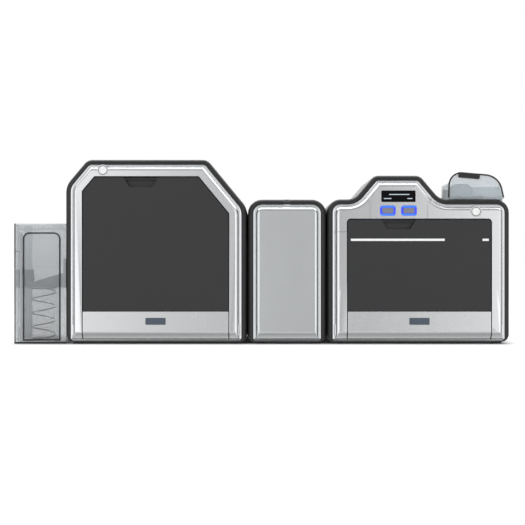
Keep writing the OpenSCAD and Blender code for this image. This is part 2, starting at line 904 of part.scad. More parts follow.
drum_y0 = card_y - card_w / 2 - 2;
drum_y1 = card_y + card_w / 2 + 2;
shaft_y0 = drum_y0 - 5;
shaft_y1 = chassis_back_y + 4;
gear_t = 4;
gear_y1 = chassis_y - 2;
gear_y0 = gear_y1 - gear_t;

module gear_shape(teeth, m, phase) {
    polygon([
        for (i = [0:teeth - 1], t = tooth)
            let (a = phase + (i + t.x) * 360 / teeth, r = m * (teeth / 2 + t.y))
            [r * cos(a), r * sin(a)]
    ]);
}

upper_z = card_z + nip / 2;
lower_z = card_z - nip / 2;
lam_nip_x = lam_x + 155;
prn_nip_x = prn_x + 150;
feed_x = prn_nip_x + 80;
heat_at = [lam_nip_x, upper_z];
pressure_at = [lam_nip_x, lower_z];
transfer_at = [prn_nip_x, upper_z];
counter_at = [prn_nip_x, lower_z];
feed_at = [feed_x, lower_z];
platen_at = [prn_nip_x - 30, card_z - 65];

// A rubber roller on its shaft, with or without its gear
module roller(at, shaft_end) {
    rod(at.x, at.y, shaft_r, shaft_y0, shaft_end);
    rod(at.x, at.y, roller_r, drum_y0, drum_y1);
}

module geared_roller(at, phase, shaft_end) {
    roller(at, shaft_end);
    plate(gear_y0, gear_y1) translate(at) gear_shape(gear_teeth, gear_m, phase);
}

motor_bore_depth = 12;
driven_end = chassis_back_y + motor_bore_depth - 2;
motor_size = 42;
motor_len = 34;
motor_corner = 5;
module motor(at, shaft) {
    difference() {
        union() {
            plate(chassis_back_y, chassis_back_y + motor_len) translate(at)
                round_rect(motor_size, motor_size, motor_corner);
            rod(at.x, at.y, 8, chassis_back_y + motor_len - 1, chassis_back_y + motor_len + 3);
        }
        rod(at.x, at.y, shaft + 0.5, chassis_y, chassis_back_y + motor_bore_depth);
    }
}

// ---------- Cartridges ----------
spool_core_r = 9;
flange_r = 3.5; // how far a spool's flanges stand out past a take-up roll
flange_t = 1.5;
cart_t = 2.5;
cart_end_r = 15;
cart_y0 = drum_y0 - 3;
cart_rear_y0 = drum_y1 + 0.5;
tie_r = 3;
tie_side = 9;

module stadium(a, b, r) {
    angle = atan2(b.y - a.y, b.x - a.x);
    for (p = [a, b]) translate(p) circle(r);
    translate(a) rotate(angle) translate([0, -r]) square([norm(b - a), 2 * r]);
}

// The frame that holds a supply spool at a and a take-up spool at b
module cartridge(a, b) {
    along = unit(b - a);
    side = [-along.y, along.x];
    color("#26262a") difference() {
        union() {
            plate(cart_y0, cart_y0 + cart_t) stadium(a, b, cart_end_r);
            plate(cart_rear_y0, cart_rear_y0 + 2) stadium(a, b, cart_end_r);
            for (s = [-1, 1]) {
                tie = (a + b) / 2 + side * s * tie_side;
                rod(tie.x, tie.y, tie_r, cart_y0, chassis_y);
            }
            // pull tab in front
            plate(cart_y0 - 4, cart_y0 + 1) stadium((a + b) / 2 - along * 10, (a + b) / 2 + along * 10, 2.5);
        }
        for (p = [a, b]) rod(p.x, p.y, shaft_r + run, cart_y0 - over, cart_rear_y0 + 3);
    }
}

// A spool: its shaft, core and flanges, and the film wound on it
module spool(at, roll_r) {
    rod(at.x, at.y, shaft_r, shaft_y0, shaft_y1);
    rod(at.x, at.y, roll_r, drum_y0 + flange_t, drum_y1 - flange_t);
    for (y = [drum_y0, drum_y1 - flange_t]) rod(at.x, at.y, spool_core_r + flange_r, y, y + flange_t);
}

laminate_rise = 62;
laminate_take_r = 18;
lam_supply_x = lam_nip_x - 52;
lam_take_x = lam_nip_x + 52;
upper_supply_at = [lam_supply_x, card_z + laminate_rise];
upper_take_at = [lam_take_x, card_z + laminate_rise];
lower_supply_at = [lam_supply_x, card_z - laminate_rise];
lower_take_at = [lam_take_x, card_z - laminate_rise];
ribbon_drop = 52; // height of the card path over the ribbon's supply spool
ribbon_span = 60;
film_drop = 55;
film_span = 70;
film_side = 70;
ribbon_supply_at = [feed_x + 5, card_z - ribbon_drop];
ribbon_take_at = [feed_x + 5, card_z - ribbon_drop - ribbon_span];
film_supply_at = [prn_x + film_side, card_z - film_drop];
film_take_at = [prn_x + film_side, card_z - film_drop - film_span];
ribbon_take_r = 15;

module laminate_cartridges() {
    cartridge(upper_supply_at, upper_take_at);
    cartridge(lower_supply_at, lower_take_at);
}

module upper_laminate_supply() {
    color("#cfd6dc") spool(upper_supply_at, laminate_roll_r);
}

module upper_laminate_takeup() {
    color("#cfd6dc") spool(upper_take_at, laminate_take_r);
}

module lower_laminate_supply() {
    color("#cfd6dc") spool(lower_supply_at, laminate_roll_r);
}

module lower_laminate_takeup() {
    color("#cfd6dc") spool(lower_take_at, laminate_take_r);
}

module printer_cartridges() {
    cartridge(ribbon_supply_at, ribbon_take_at);
    cartridge(film_supply_at, film_take_at);
}

module ribbon_supply_spool() {
    color("#7a2f5a") spool(ribbon_supply_at, ribbon_roll_r);
}

module ribbon_takeup_spool() {
    color("#2f2f33") spool(ribbon_take_at, ribbon_take_r);
}

module film_supply_spool() {
    color("#aeb9c4") spool(film_supply_at, ribbon_roll_r);
}

module film_takeup_spool() {
    color("#aeb9c4") spool(film_take_at, ribbon_take_r);
}

// ---------- Chassis plates ----------
foot_flange = 60;
flange_z = foot_h + floor_t + fit;

// A full-width partition with a flange along the floor behind it
module chassis(corners, x, w) {
    plate(chassis_y, chassis_back_y) translate([x, 0])
        polygon(inset_outline(corners, wall + fit, floor_t + fit));
    block(x + foot_corner_r + wall, x + w - foot_corner_r - wall, chassis_back_y - over,
        chassis_back_y + foot_flange, flange_z, flange_z + chassis_t);
}

track_t = 1.5;
track_drop = 1.5;
track_gap = 16;

// A card track from x0 to x1, open round the rollers
module card_track(x0, x1, rollers_at) {
    difference() {
        block(x0, x1, slot_y0 + 1, chassis_y + over, card_z - track_drop - track_t, card_z - track_drop);
        for (x = rollers_at)
            block(x - track_gap, x + track_gap, slot_y0, chassis_y + 2 * over, card_z - 10, card_z + 10);
    }
}

module bores(places, r) {
    for (p = places) rod(p.x, p.y, r + run, chassis_y - over, chassis_back_y + over);
}

module laminator_chassis() {
    color("#9a9da0") difference() {
        union() {
            chassis(lam_corners, lam_x, lam_w);
            card_track(lam_x + wall + fit, lam_x + lam_w - wall - fit, [lam_nip_x]);
        }
        bores([heat_at, pressure_at, upper_supply_at, upper_take_at, lower_supply_at, lower_take_at], shaft_r);
    }
}

table_shaft_r = 5;
table_at = [flip_x + flip_w / 2, card_z];

module flipper_chassis() {
    color("#9a9da0") difference() {
        chassis(flip_corners, flip_x, flip_w);
        bores([table_at], table_shaft_r);
    }
}

main_board_y = chassis_back_y + motor_len + 6;
main_board_x0 = prn_x + 22;
main_board_w = 120;
main_board_z0 = 95;
main_board_h = 110;
function board_corners(x0, z0, w, h) = [for (x = [x0 + 5, x0 + w - 5], z = [z0 + 5, z0 + h - 5]) [x, z]];
standoff_r = 2.5;
board_t = 1.6;

lam_board_x0 = lam_x + 30;
lam_board_w = 90;
lam_board_z0 = 90;
lam_board_h = 80;

module printer_chassis() {
    color("#9a9da0") difference() {
        union() {
            chassis(prn_corners, prn_x, prn_w);
            card_track(prn_x + wall + fit, feed_x - track_gap, [prn_nip_x]);
        }
        bores([transfer_at, counter_at, feed_at, platen_at, ribbon_supply_at, ribbon_take_at,
            film_supply_at, film_take_at], shaft_r);
        // room for the input hopper's cup
        block(cup_x0 - cup_gap, cup_x1 + cup_gap, chassis_y - over, chassis_back_y + over, cup_z0 - cup_gap, prn_h);
    }
}

// A circuit board with its chips, on four standoffs that reach back from the chassis
module board(x0, z0, w, h) {
    color("#1f5c35") {
        plate(main_board_y, main_board_y + board_t) translate([x0, z0]) square([w, h]);
        for (p = board_corners(x0, z0, w, h)) rod(p.x, p.y, standoff_r, chassis_back_y, main_board_y + 0.1);
        block(x0 + w * 0.3, x0 + w * 0.3 + 24, main_board_y + board_t - 0.1, main_board_y + board_t + 2,
            z0 + h * 0.5, z0 + h * 0.5 + 24);
        for (i = [0:3]) block(x0 + 12 + i * 17, x0 + 22 + i * 17, main_board_y + board_t - 0.1,
            main_board_y + board_t + 4, z0 + 12, z0 + 20);
        for (i = [0:2]) rod(x0 + w - 16, z0 + 20 + i * 16, 5, main_board_y + board_t - 0.1, main_board_y + 14);
    }
}

module control_boards() {
    board(lam_board_x0, lam_board_z0, lam_board_w, lam_board_h);
    board(main_board_x0, main_board_z0, main_board_w, main_board_h);
}

module drive_motors() {
    color("#2a2a2e") {
        motor(heat_at, shaft_r);
        motor(table_at, table_shaft_r);
        motor(counter_at, shaft_r);
    }
}

// ---------- Laminator drive ----------
module heat_roller() {
    color("#5a5a5e") geared_roller(heat_at, 0, driven_end);
}

module pressure_roller() {
    color("#2c2c2e") geared_roller(pressure_at, 180 / gear_teeth, shaft_y1);
}

// ---------- Flipper table ----------
table_w = 100;
table_t = 34;
table_plate_t = 2.5;
table_rear_y0 = drum_y1 + 0.5;
flip_roller_r = 8;
flip_shaft_r = 2.5;
flip_lower_at = [table_at.x, card_z - card_gap / 2 - flip_roller_r];
guide_x0 = 12;
guide_t = 1;
guide_gap = 1.5;

module flipper_table() {
    ends = [[cart_y0, cart_y0 + table_plate_t], [table_rear_y0, table_rear_y0 + table_plate_t]];
    color("#55585c") difference() {
        union() {
            for (e = ends) plate(e[0], e[1]) translate(table_at) round_rect(table_w, table_t, 10);
            for (sx = [-1, 1], sz = [-1, 1]) {
                rod(table_at.x + sx * 38, table_at.y + sz * 12, 2.5, ends[0][1] - 0.5, ends[1][0] + 0.5);
                block(table_at.x + (sx > 0 ? guide_x0 : -table_w / 2 + 2),
                    table_at.x + (sx > 0 ? table_w / 2 - 2 : -guide_x0),
                    ends[0][1] - 0.5, ends[1][0] + 0.5,
                    card_z + (sz > 0 ? guide_gap : -guide_gap - guide_t),
                    card_z + (sz > 0 ? guide_gap + guide_t : -guide_gap));
            }
            rod(table_at.x, table_at.y, table_shaft_r, ends[1][1] - 0.5, driven_end);
        }
        rod(flip_lower_at.x, flip_lower_at.y, flip_shaft_r + run, cart_y0 - over, ends[1][1] + over);
    }
}

module flipper_roller() {
    at = flip_lower_at;
    color("#2c2c2e") {
        rod(at.x, at.y, flip_shaft_r, cart_y0 - 1.5, table_rear_y0 + table_plate_t + 1.5);
        rod(at.x, at.y, flip_roller_r, drum_y0 + 3, drum_y1 - 1);
    }
}

// ---------- Printer drive ----------
module transfer_roller() {
    color("#5a5a5e") geared_roller(transfer_at, 180 / gear_teeth, shaft_y1);
}

module counter_roller() {
    color("#2c2c2e") geared_roller(counter_at, 0, driven_end);
}

module card_feed_roller() {
    color("#2c2c2e") roller(feed_at, shaft_y1);
}

module platen_roller() {
    color("#2c2c2e") roller(platen_at, shaft_y1);
}

head_len = 40;
head_t = 20;
fin_pitch = 5;
head_foot = 24;
module printhead() {
    x0 = platen_at.x + roller_r + fit;
    color("#8f9296") {
        block(x0, x0 + 6, drum_y0, drum_y1, platen_at.y - 4, platen_at.y + 4);
        block(x0 + 5, x0 + head_len, drum_y0, drum_y1, platen_at.y - head_t / 2, platen_at.y + head_t / 2);
        for (i = [0:5]) block(x0 + 12 + i * fin_pitch, x0 + 14 + i * fin_pitch, drum_y0 + 2, drum_y1 - 2,
            platen_at.y + head_t / 2 - 0.5, platen_at.y + head_t / 2 + 8);
        block(x0 + 12, x0 + 12 + head_foot, drum_y1 - 1, chassis_y, platen_at.y - 7, platen_at.y + 7);
    }
}

supply_w = 120;
supply_side = 26; // distance of the power supply from the printer's right side
supply_x0 = prn_right - supply_side - supply_w;
supply_h = 60;
supply_y0 = chassis_back_y + foot_flange + 4;
slit_start = 14;
slit_pitch = 12;
slit_w = 4;
slit_end = 10;
module power_supply() {
    y1 = shell_back_y - 8;
    z0 = foot_h + floor_t + fit;
    color("#a5a8aa") difference() {
        block(supply_x0, supply_x0 + supply_w, supply_y0, y1, z0, z0 + supply_h);
        for (i = [0:7]) block(supply_x0 + slit_start + i * slit_pitch, supply_x0 + slit_start + slit_w + i * slit_pitch,
            supply_y0 + slit_end, y1 - slit_end, z0 + supply_h - 2, z0 + supply_h + over);
    }
}

// ---------- Input hopper ----------
dome_pin_y = dome_y1 - 6;
dome_pin_z = dome_z0 + 6;
dome_pin_r = 1.5;
dome_ear_r = 5;
dome_corners = [
    [dome_x0, dome_z0, 1],
    [dome_x1, dome_z0, 1],
    [dome_x1 - 8.6, dome_z0 + 37.5, 31],
    [dome_x0 + 1.5, dome_z1 - 0.5, 22]
];

// The cup's side walls end low under the lid's slopes, except for the two ears on the hinge pins
cup_side_z = dome_z0 + 4;
cup_ear_z = dome_pin_z + 3.5;
cup_ear_y = dome_pin_y - 5;
cup_relief = 1.5;

module input_hopper_cup() {
    color("#8f8f8a") difference() {
        intersection() {
            block(cup_x0, cup_x1, cup_y0, cup_y1, cup_z0, cup_z1);
            plate(cup_y0 - over, cup_y1 + over)
                polygon(inset_outline(dome_corners, hop_wall + 0.8, cup_z0 - dome_z0 - over));
        }
        block(cup_in_x0, cup_in_x1, cup_y0 + hop_wall, cup_y1 - hop_wall, cup_z0 + hop_wall, cup_z1 + over);
        block(cup_x0 - over, cup_x1 + over, cup_y0 + hop_wall, cup_ear_y, cup_side_z, cup_z1 + over);
        block(cup_x0 - over, cup_x1 + over, cup_ear_y - over, cup_y1 - hop_wall, cup_ear_z, cup_z1 + over);
        // slot for the lowest card, and the window for the feed roller
        block(cup_x0 - over, cup_x0 + hop_wall + over, card_y - card_w / 2 - 1, card_y + card_w / 2 + 1,
            cup_z0 + hop_wall, cup_z0 + hop_wall + 2);
        block(feed_x - 9, feed_x + 9, drum_y0 + 2, drum_y1 - 2, cup_z0 - over, cup_z0 + hop_wall + over);
        cross_rod(dome_pin_y, dome_pin_z, dome_pin_r, cup_x0 - over, cup_x1 + over);
        // the rear right corner, which the lid's sloping side passes as it opens
        block(cup_x1 - cup_relief, cup_x1 + over, dome_pin_y + 1, cup_y1 + over, prn_h, cup_z1 + over);
    }
}

module input_hopper_lid() {
    color([0.55, 0.57, 0.62, 0.5]) difference() {
        union() {
            difference() {
                plate(dome_y0, dome_y1) polygon(outline(dome_corners));
                plate(dome_y0 + hop_wall, dome_y1 - hop_wall)
                    polygon(inset_outline(dome_corners, hop_wall, -over));
                // the back wall starts above the hinge, so that it clears the cup
                block(dome_x0 - over, dome_x1 + over, dome_pin_y, dome_y1 + over, dome_z0 - over, dome_pin_z);
                block(dome_x0 + hop_wall + cup_gap / 2, dome_x1 - hop_wall - cup_gap / 2,
                    dome_y1 - hop_wall - over, dome_y1 + over, dome_z0 - over, dome_pin_z + 3.5);
            }
            for (x = [dome_x0 + 0.9, dome_x1 - hop_wall - 0.9])
                cross_rod(dome_pin_y, dome_pin_z, dome_ear_r, x, x + hop_wall);
        }
        cross_rod(dome_pin_y, dome_pin_z, dome_pin_r + run, dome_x0 - over, dome_x1 + over);
    }
}

grip_w = 37;
grip_h = 9.5;
grip_t = 2.5;
module input_hopper_grip() {
    slope = atan2(dome_z0 + 37.5 - dome_z1 + 0.5, dome_w - 10.1);
    color("#3c3d40") plate(dome_y0 - grip_t, dome_y0) translate([dome_x0 + 36, dome_z1 - 8]) rotate(slope)
        round_rect(grip_w, grip_h, 2);
}

// ---------- Output hopper ----------
hop_y0 = front_y + hop_set;
hop_y1 = hop_y0 + hop_depth;
hop_base_t = 3;
hop_floor_z = hop_base_t + hop_wall;
hop_left_w = 9;
hop_right_w = 8.6;
hop_top_w = 14.5;
hop_gap = 0.5;
hop_pin_x = hop_x + hop_left_w + 2.6;
hop_pin_y = hop_y0 - 1;
hop_pin_r = 1;
hop_barrel_r = 2.2;
hop_door_z0 = hop_floor_z + hop_gap;
hop_door_h = hop_h - hop_top_w - hop_gap - hop_door_z0;
hop_door_x0 = hop_pin_x + hop_barrel_r + 0.4;
hop_door_x1 = lam_x - hop_right_w - hop_gap;
hop_rim_w = 2;
hop_door_r = 11.5;
knuckle_gap = 0.4;
rail_w = 13;
rail_t = 8;

// The five knuckles of the hinge from bottom to top: the even ones stand on the housing
knuckle_ends = [0, 0.12, 0.64, 0.82, 0.9, 1];
function knuckle(i) = [
    hop_door_z0 + 2 + (hop_door_h - 4) * knuckle_ends[i] + knuckle_gap / 2,
    hop_door_z0 + 2 + (hop_door_h - 4) * knuckle_ends[i + 1] - knuckle_gap / 2
];

module output_hopper_base() {
    color("#17171a") block(hop_x, lam_x, hop_y0, hop_y1, 0, hop_base_t);
}

module output_hopper_body() {
    color([0.6, 0.63, 0.68, 0.5]) difference() {
        union() {
            block(hop_x, lam_x, hop_y0, hop_y1, hop_base_t, hop_floor_z);
            block(hop_x, lam_x, hop_y0, hop_y1, hop_h - hop_wall, hop_h);
            block(hop_x, lam_x, hop_y1 - hop_wall, hop_y1, hop_base_t, hop_h);
            block(hop_x, hop_x + hop_wall, hop_y0, hop_y1, hop_base_t, hop_h);
            block(hop_x, hop_x + hop_left_w, hop_y0, hop_y0 + hop_wall, hop_base_t, hop_h);
            block(lam_x - hop_right_w, lam_x, hop_y0, hop_y0 + hop_wall, hop_base_t, hop_h);
            block(hop_x, lam_x, hop_y0, hop_y0 + hop_wall, hop_h - hop_top_w, hop_h);
            block(hop_x + 18, hop_x + 18 + rail_w, hop_y1 - hop_wall - rail_t, hop_y1 - hop_wall + 0.5,
                hop_floor_z, hop_h - hop_wall);
            for (i = [0, 2, 4]) let (z = knuckle(i)) {
                translate([hop_pin_x, hop_pin_y, z[0]]) cylinder(h = z[1] - z[0], r = hop_barrel_r);
                block(hop_x + hop_left_w - 2, hop_pin_x, hop_pin_y - 0.6, hop_y0 + 1, z[0], z[1]);
            }
        }
        translate([hop_pin_x, hop_pin_y, hop_door_z0]) cylinder(h = hop_door_h, r = hop_pin_r);
    }
}

hop_door_corners = [
    [hop_door_x0, hop_door_z0, 1],
    [hop_door_x1, hop_door_z0, 1],
    [hop_door_x1, hop_door_z0 + hop_door_h, hop_door_r],
    [hop_door_x0, hop_door_z0 + hop_door_h, hop_door_r]
];

module output_door_frame() {
    color("#1a1a1c") difference() {
        union() {
            plate(hop_y0 - 0.6, hop_y0 + hop_wall) difference() {
                polygon(outline(hop_door_corners));
                polygon(inset_outline(hop_door_corners, hop_rim_w, hop_rim_w));
            }
            for (i = [1, 3]) let (z = knuckle(i)) {
                translate([hop_pin_x, hop_pin_y, z[0]]) cylinder(h = z[1] - z[0], r = hop_barrel_r);
                block(hop_pin_x, hop_door_x0 + hop_rim_w, hop_pin_y - 0.6, hop_y0 + 1, z[0], z[1]);
            }
        }
        translate([hop_pin_x, hop_pin_y, hop_door_z0]) cylinder(h = hop_door_h, r = hop_pin_r + run);
    }
}

module output_hopper_door() {
    color([0.6, 0.63, 0.68, 0.5]) plate(hop_y0, hop_y0 + hop_wall)
        polygon(inset_outline(hop_door_corners, hop_rim_w + 0.1, hop_rim_w + 0.1));
}

tray_h = 31.5;
tray_y0 = hop_y0 + hop_wall + 2.5;
tray_y1 = hop_y1 - hop_wall - rail_t - 1;
tray_x0 = hop_x + hop_wall + 0.5;
tray_x1 = lam_x - 0.5;
module output_tray() {
    color("#77797c") plate(tray_y0, tray_y1) translate([0, tray_z]) polygon([
        [tray_x0, 0],
        [tray_x1, 0],
        [tray_x1, 50],
        [tray_x1 - 4.5, 50],
        [tray_x1 - 4.5, 25.5],
        [tray_x0 + 28, 10],
        [tray_x0 + 26.5, tray_h],
        [tray_x0, tray_h]
    ]);
}

// The spring's wire: its centre line runs straight up for one wire diameter at both ends
spring_x = hop_x + hop_w / 2;
spring_y = (tray_y0 + tray_y1) / 2;
spring_r = (spring_d - wire_d) / 2;
spring_z0 = hop_floor_z;
spring_len = tray_z - spring_z0;
curl_rings = 8;
wire_sides = 6;
bend = 0.9 * wire_d; // height that the wire needs to turn from upright into the curl
coil_rings = round(spring_turns * curl_rings) - 1;
spring_path = concat(
    [[0, 0], [0, wire_d]],
    [for (i = [1:coil_rings])
        [360 * spring_turns * i / (coil_rings + 1),
            wire_d + bend + (spring_len - 2 * wire_d - 2 * bend) * (i - 1) / (coil_rings - 1)]],
    [[360 * spring_turns, spring_len - wire_d], [360 * spring_turns, spring_len]]
);
function spring_point(i) = let (s = spring_path[i])
    [spring_x + spring_r * cos(s[0]), spring_y + spring_r * sin(s[0]), spring_z0 + s[1]];
function spring_tangent(i) = i <= 1 || i >= len(spring_path) - 2
    ? [0, 0, 1]
    : unit(spring_point(i + 1) - spring_point(i - 1));
function wire_ring(i) = let (
        t = spring_tangent(i),
        out = [cos(spring_path[i][0]), sin(spring_path[i][0]), 0],
        u = unit(out - t * (out * t)),
        v = cross(t, u)
    )
    [for (k = [0:wire_sides - 1]) let (a = 360 * k / wire_sides)
        spring_point(i) + wire_d / 2 * (u * cos(a) + v * sin(a))];

last_ring = len(spring_path) - 1;
spring_gap = min([
    for (i = [0:last_ring], j = [i + 1:1:last_ring])
        if (spring_path[j][0] - spring_path[i][0] > 180) norm(spring_point(i) - spring_point(j))
]) - wire_d;
echo(least_gap_between_the_turns_of_the_spring = spring_gap);

module output_spring() {
    n = wire_sides;
    color("#c9ccd0") polyhedron(
        [for (i = [0:last_ring]) each wire_ring(i)],
        concat(
            [for (i = [0:last_ring - 1], k = [0:n - 1], half = [0, 1])
                let (a = i * n + k, b = i * n + (k + 1) % n)
                half == 0 ? [a, a + n, b + n] : [a, b + n, b]],
            [for (k = [1:n - 2]) [0, k, k + 1]],
            [for (k = [1:n - 2]) [last_ring * n, last_ring * n + k + 1, last_ring * n + k]]
        )
    );
}

laminator_lower_shell();
laminator_top_shell();
laminator_bezel();
laminator_door_panel();
laminator_door_band();
laminator_power_button();
laminator_chassis();
heat_roller();
pressure_roller();
laminate_cartridges();
upper_laminate_supply();
upper_laminate_takeup();
lower_laminate_supply();
lower_laminate_takeup();
flipper_lower_shell();
flipper_top_shell();
flipper_lid();
flipper_front_panel();
flipper_chassis();
flipper_table();
flipper_roller();
printer_lower_shell();
printer_top_shell();
printer_bezel();
control_panel();
display_lens();
left_option_button();
right_option_button();
button_light_rings();
printer_power_button();
printer_door_panel();
printer_door_band();
printer_chassis();
transfer_roller();
counter_roller();
card_feed_roller();
platen_roller();
printhead();
printer_cartridges();
ribbon_supply_spool();
ribbon_takeup_spool();
film_supply_spool();
film_takeup_spool();
control_boards();
drive_motors();
power_supply();
input_hopper_cup();
input_hopper_lid();
input_hopper_grip();
output_hopper_base();
output_hopper_body();
output_door_frame();
output_hopper_door();
output_tray();
output_spring();
rear_covers();
screws();
sockets();
pins();
rubber_feet();
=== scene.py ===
"""Looks of a desktop card printer: laminator, flipper and printer in a row, with a hopper at each end."""

from math import atan2, cos, pi, radians, sin, sqrt

import bmesh
import bpy
from mathutils import Matrix, Vector


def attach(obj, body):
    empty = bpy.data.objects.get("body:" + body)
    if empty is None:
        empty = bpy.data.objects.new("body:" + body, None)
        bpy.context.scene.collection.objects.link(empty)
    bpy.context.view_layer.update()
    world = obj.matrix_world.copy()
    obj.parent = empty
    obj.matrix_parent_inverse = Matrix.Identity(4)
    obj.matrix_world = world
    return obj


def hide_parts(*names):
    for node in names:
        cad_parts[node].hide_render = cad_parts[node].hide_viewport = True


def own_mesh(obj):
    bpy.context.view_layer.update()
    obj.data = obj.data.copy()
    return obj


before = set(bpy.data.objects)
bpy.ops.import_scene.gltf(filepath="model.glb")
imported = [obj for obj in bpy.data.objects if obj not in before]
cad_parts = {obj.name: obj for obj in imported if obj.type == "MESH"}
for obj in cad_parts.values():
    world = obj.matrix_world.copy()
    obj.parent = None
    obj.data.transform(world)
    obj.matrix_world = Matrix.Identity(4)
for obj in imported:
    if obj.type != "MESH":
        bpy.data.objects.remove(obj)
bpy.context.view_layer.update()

# ---------- Sizes in millimetres, in the frame's own axes ----------
MM = 0.001
FRONT, RIM, BEZEL_BACK, SHELL_BACK = -117.5, -104.0, -96.5, 114.5
FACE, FACE_UNDER = 3.5, 2.5
SEAM, SEAM_GAP = 222.0, 0.3
LAM_W, FLIP_W, PRN_W = 309.0, 133.5, 311.0
LAM_TOP, FLIP_TOP, PRN_TOP, PRN_CROWN = 314.0, 246.0, 246.5, 287.0
HOP_X, LAM_X, FLIP_X, PRN_X = -422.25, -334.25, -23.75, 111.25
LAM_RIGHT, FLIP_RIGHT, PRN_RIGHT = LAM_X + LAM_W, FLIP_X + FLIP_W, PRN_X + PRN_W
HINGE_Y, HINGE_Z, HINGE_R = -101.5, 24.0, 16.0
BAND_TOP, BAND_T = 55.5, 3.5
CARD_Y, CARD_Z = -60.0, 185.0
UNDERSIDE, FOOT_R = 3, 13


def placed(x0, corners):
    """An outline moved to its machine's left side."""
    return [(x + x0, z, r) for x, z, r in corners]


# Outlines as (x, z, corner radius), anticlockwise from the bottom left
LAMINATOR = placed(LAM_X, [
    (0, UNDERSIDE, FOOT_R), (LAM_W, UNDERSIDE, FOOT_R), (LAM_W, 232, 33), (241.5, LAM_TOP, 17),
    (37, LAM_TOP, 17), (0, 270, 33)])
FLIPPER = placed(FLIP_X, [
    (0, UNDERSIDE, FOOT_R), (FLIP_W, UNDERSIDE, FOOT_R), (FLIP_W, FLIP_TOP, 24), (0, FLIP_TOP, 24)])
PRINTER = placed(PRN_X, [
    (0, UNDERSIDE, FOOT_R), (PRN_W, UNDERSIDE, FOOT_R), (PRN_W, PRN_TOP, 23), (192.7, PRN_TOP, 26),
    (158.5, PRN_CROWN, 16), (80.5, PRN_CROWN, 16), (46.3, PRN_TOP, 26), (0, PRN_TOP, 23)])

LAM_DOOR_INSET, PRN_DOOR_INSET, PRN_DOOR_TOP, DOOR_GAP = 30.3, 33.4, 212.0, 0.7
LAM_NOTCH, PRN_NOTCH = (-204.8, 283.7), (231.75, 212.0)
NOTCH_TOP_HALF, NOTCH_FLOOR_HALF, NOTCH_DEEP = 29, 20, 16
DRAWN_IN = 0.9
BADGE_Z, BADGE_W, BADGE_H = 39, 34.2, 11.7
STRIPE_Z, STRIPE_HALF, STRIPE_SPANS = 176.9, 1.9, ((150.7, 309.5), (373.6, 384.2))
LID_X0, LID_X1, LID_HINGE_Y, LID_DENT_X = 1.0, 85.0, 56.0, 43
DISPLAY, DISPLAY_W, DISPLAY_H = (231.25, 250.6), 57.3, 18.7
OPTIONS, OPTION_W, OPTION_H = [(213.4, 226.3), (249.1, 226.3)], 25.7, 16.5
FIT = 0.6
LAM_POWER, PRN_POWER = (-268.85, 294.8), (362.55, 224.7)
CAP_R, COLLAR_R, BORE_R, BOSS_R = 6.8, 6.9, 7.7, 9.3
PANEL_X, PANEL_HALF, PANEL_SEAM, PANEL_GAP = 231.75, 48.7, 239.5, 0.22
COLUMN_SEAM, COLUMN_GAP, COLUMN_END = 190.3, 0.28, PRN_X + 40
DOME_X0, DOME_X1, DOME_Y0, DOME_Y1, DOME_Z0, DOME_Z1 = 318.25, 415.25, -95.0, -11.0, 247.0, 295.0
DOME = [(DOME_X0, DOME_Z0, 1), (DOME_X1, DOME_Z0, 1), (DOME_X1 - 8.6, DOME_Z1 - 7.5, 31),
        (DOME_X0 + 1.5, DOME_Z1, 22)]
DOME_PIN_Y, DOME_PIN_Z, DOME_PIN_CLEAR, DOME_TRIM = -17.0, 253.0, 3.5, 2.6
WEIGHT_Y = -92.5
HOP_Y0, HOP_Y1, HOP_TOP, HOP_FOOT = -100.0, -20.0, 205.0, 3
HOP_DOOR = [(-407.65, 5.5, 1), (-343.35, 5.5, 1), (-343.35, 190, 11.5), (-407.65, 190, 11.5)]
KNUCKLE_X, KNUCKLE_Y, KNUCKLE_R = -410.65, -101.0, 2.2
TRAY_Z, TRAY_Y0, TRAY_Y1 = 95.5, -95.5, -31
SPRING_X, SPRING_Y, SPRING_R, WIRE_R = -378.25, -63.25, 20.5, 1.0
SPRING_Z0, SPRING_Z1, SPRING_TURNS, SPRING_SEAT = 5.0, 95.5, 5, 0.2
SUPPLY_X, NIP_X, TAKEUP_X, SPOOL_RISE = -231.25, -179.25, -127.25, 62
SUPPLY_ROLL_R, TAKEUP_ROLL_R = 28, 18


# ---------- Outlines, lofts and cuts ----------
def inward(a, b):
    """The inward normal of the edge from a to b."""
    edge = (b - a).normalized()
    return Vector((-edge.y, edge.x))


def corner(corners, i):
    """The point of a corner and the inward normals of the edges before and after it."""
    here, before, after = (Vector(corners[k % len(corners)][:2]) for k in (i, i - 1, i + 1))
    return here, inward(before, here), inward(here, after)


def inset(corners, by, bottom=None):
    """The outline moved inwards, with its bottom edge moved by an amount of its own."""
    bottom = by if bottom is None else bottom
    moved = []
    for i, (_, _, radius) in enumerate(corners):
        here, n1, n2 = corner(corners, i)
        d1, d2 = (bottom if i == 1 else by), (bottom if i == 0 else by)
        c = n1.dot(n2)
        point = here + n1 * (d1 - c * d2) / (1 - c * c) + n2 * (d2 - c * d1) / (1 - c * c)
        convex = n1.x * n2.y - n1.y * n2.x > 0
        moved.append((point.x, point.y, max(radius - by, 1) if convex else radius + by))
    return moved


def verts_in(geom):
    """The vertices in what an operator gave back."""
    return [v for v in geom if isinstance(v, bmesh.types.BMVert)]


def outwards(bm):
    """Turn all faces of closed shells outwards."""
    bmesh.ops.recalc_face_normals(bm, faces=bm.faces)


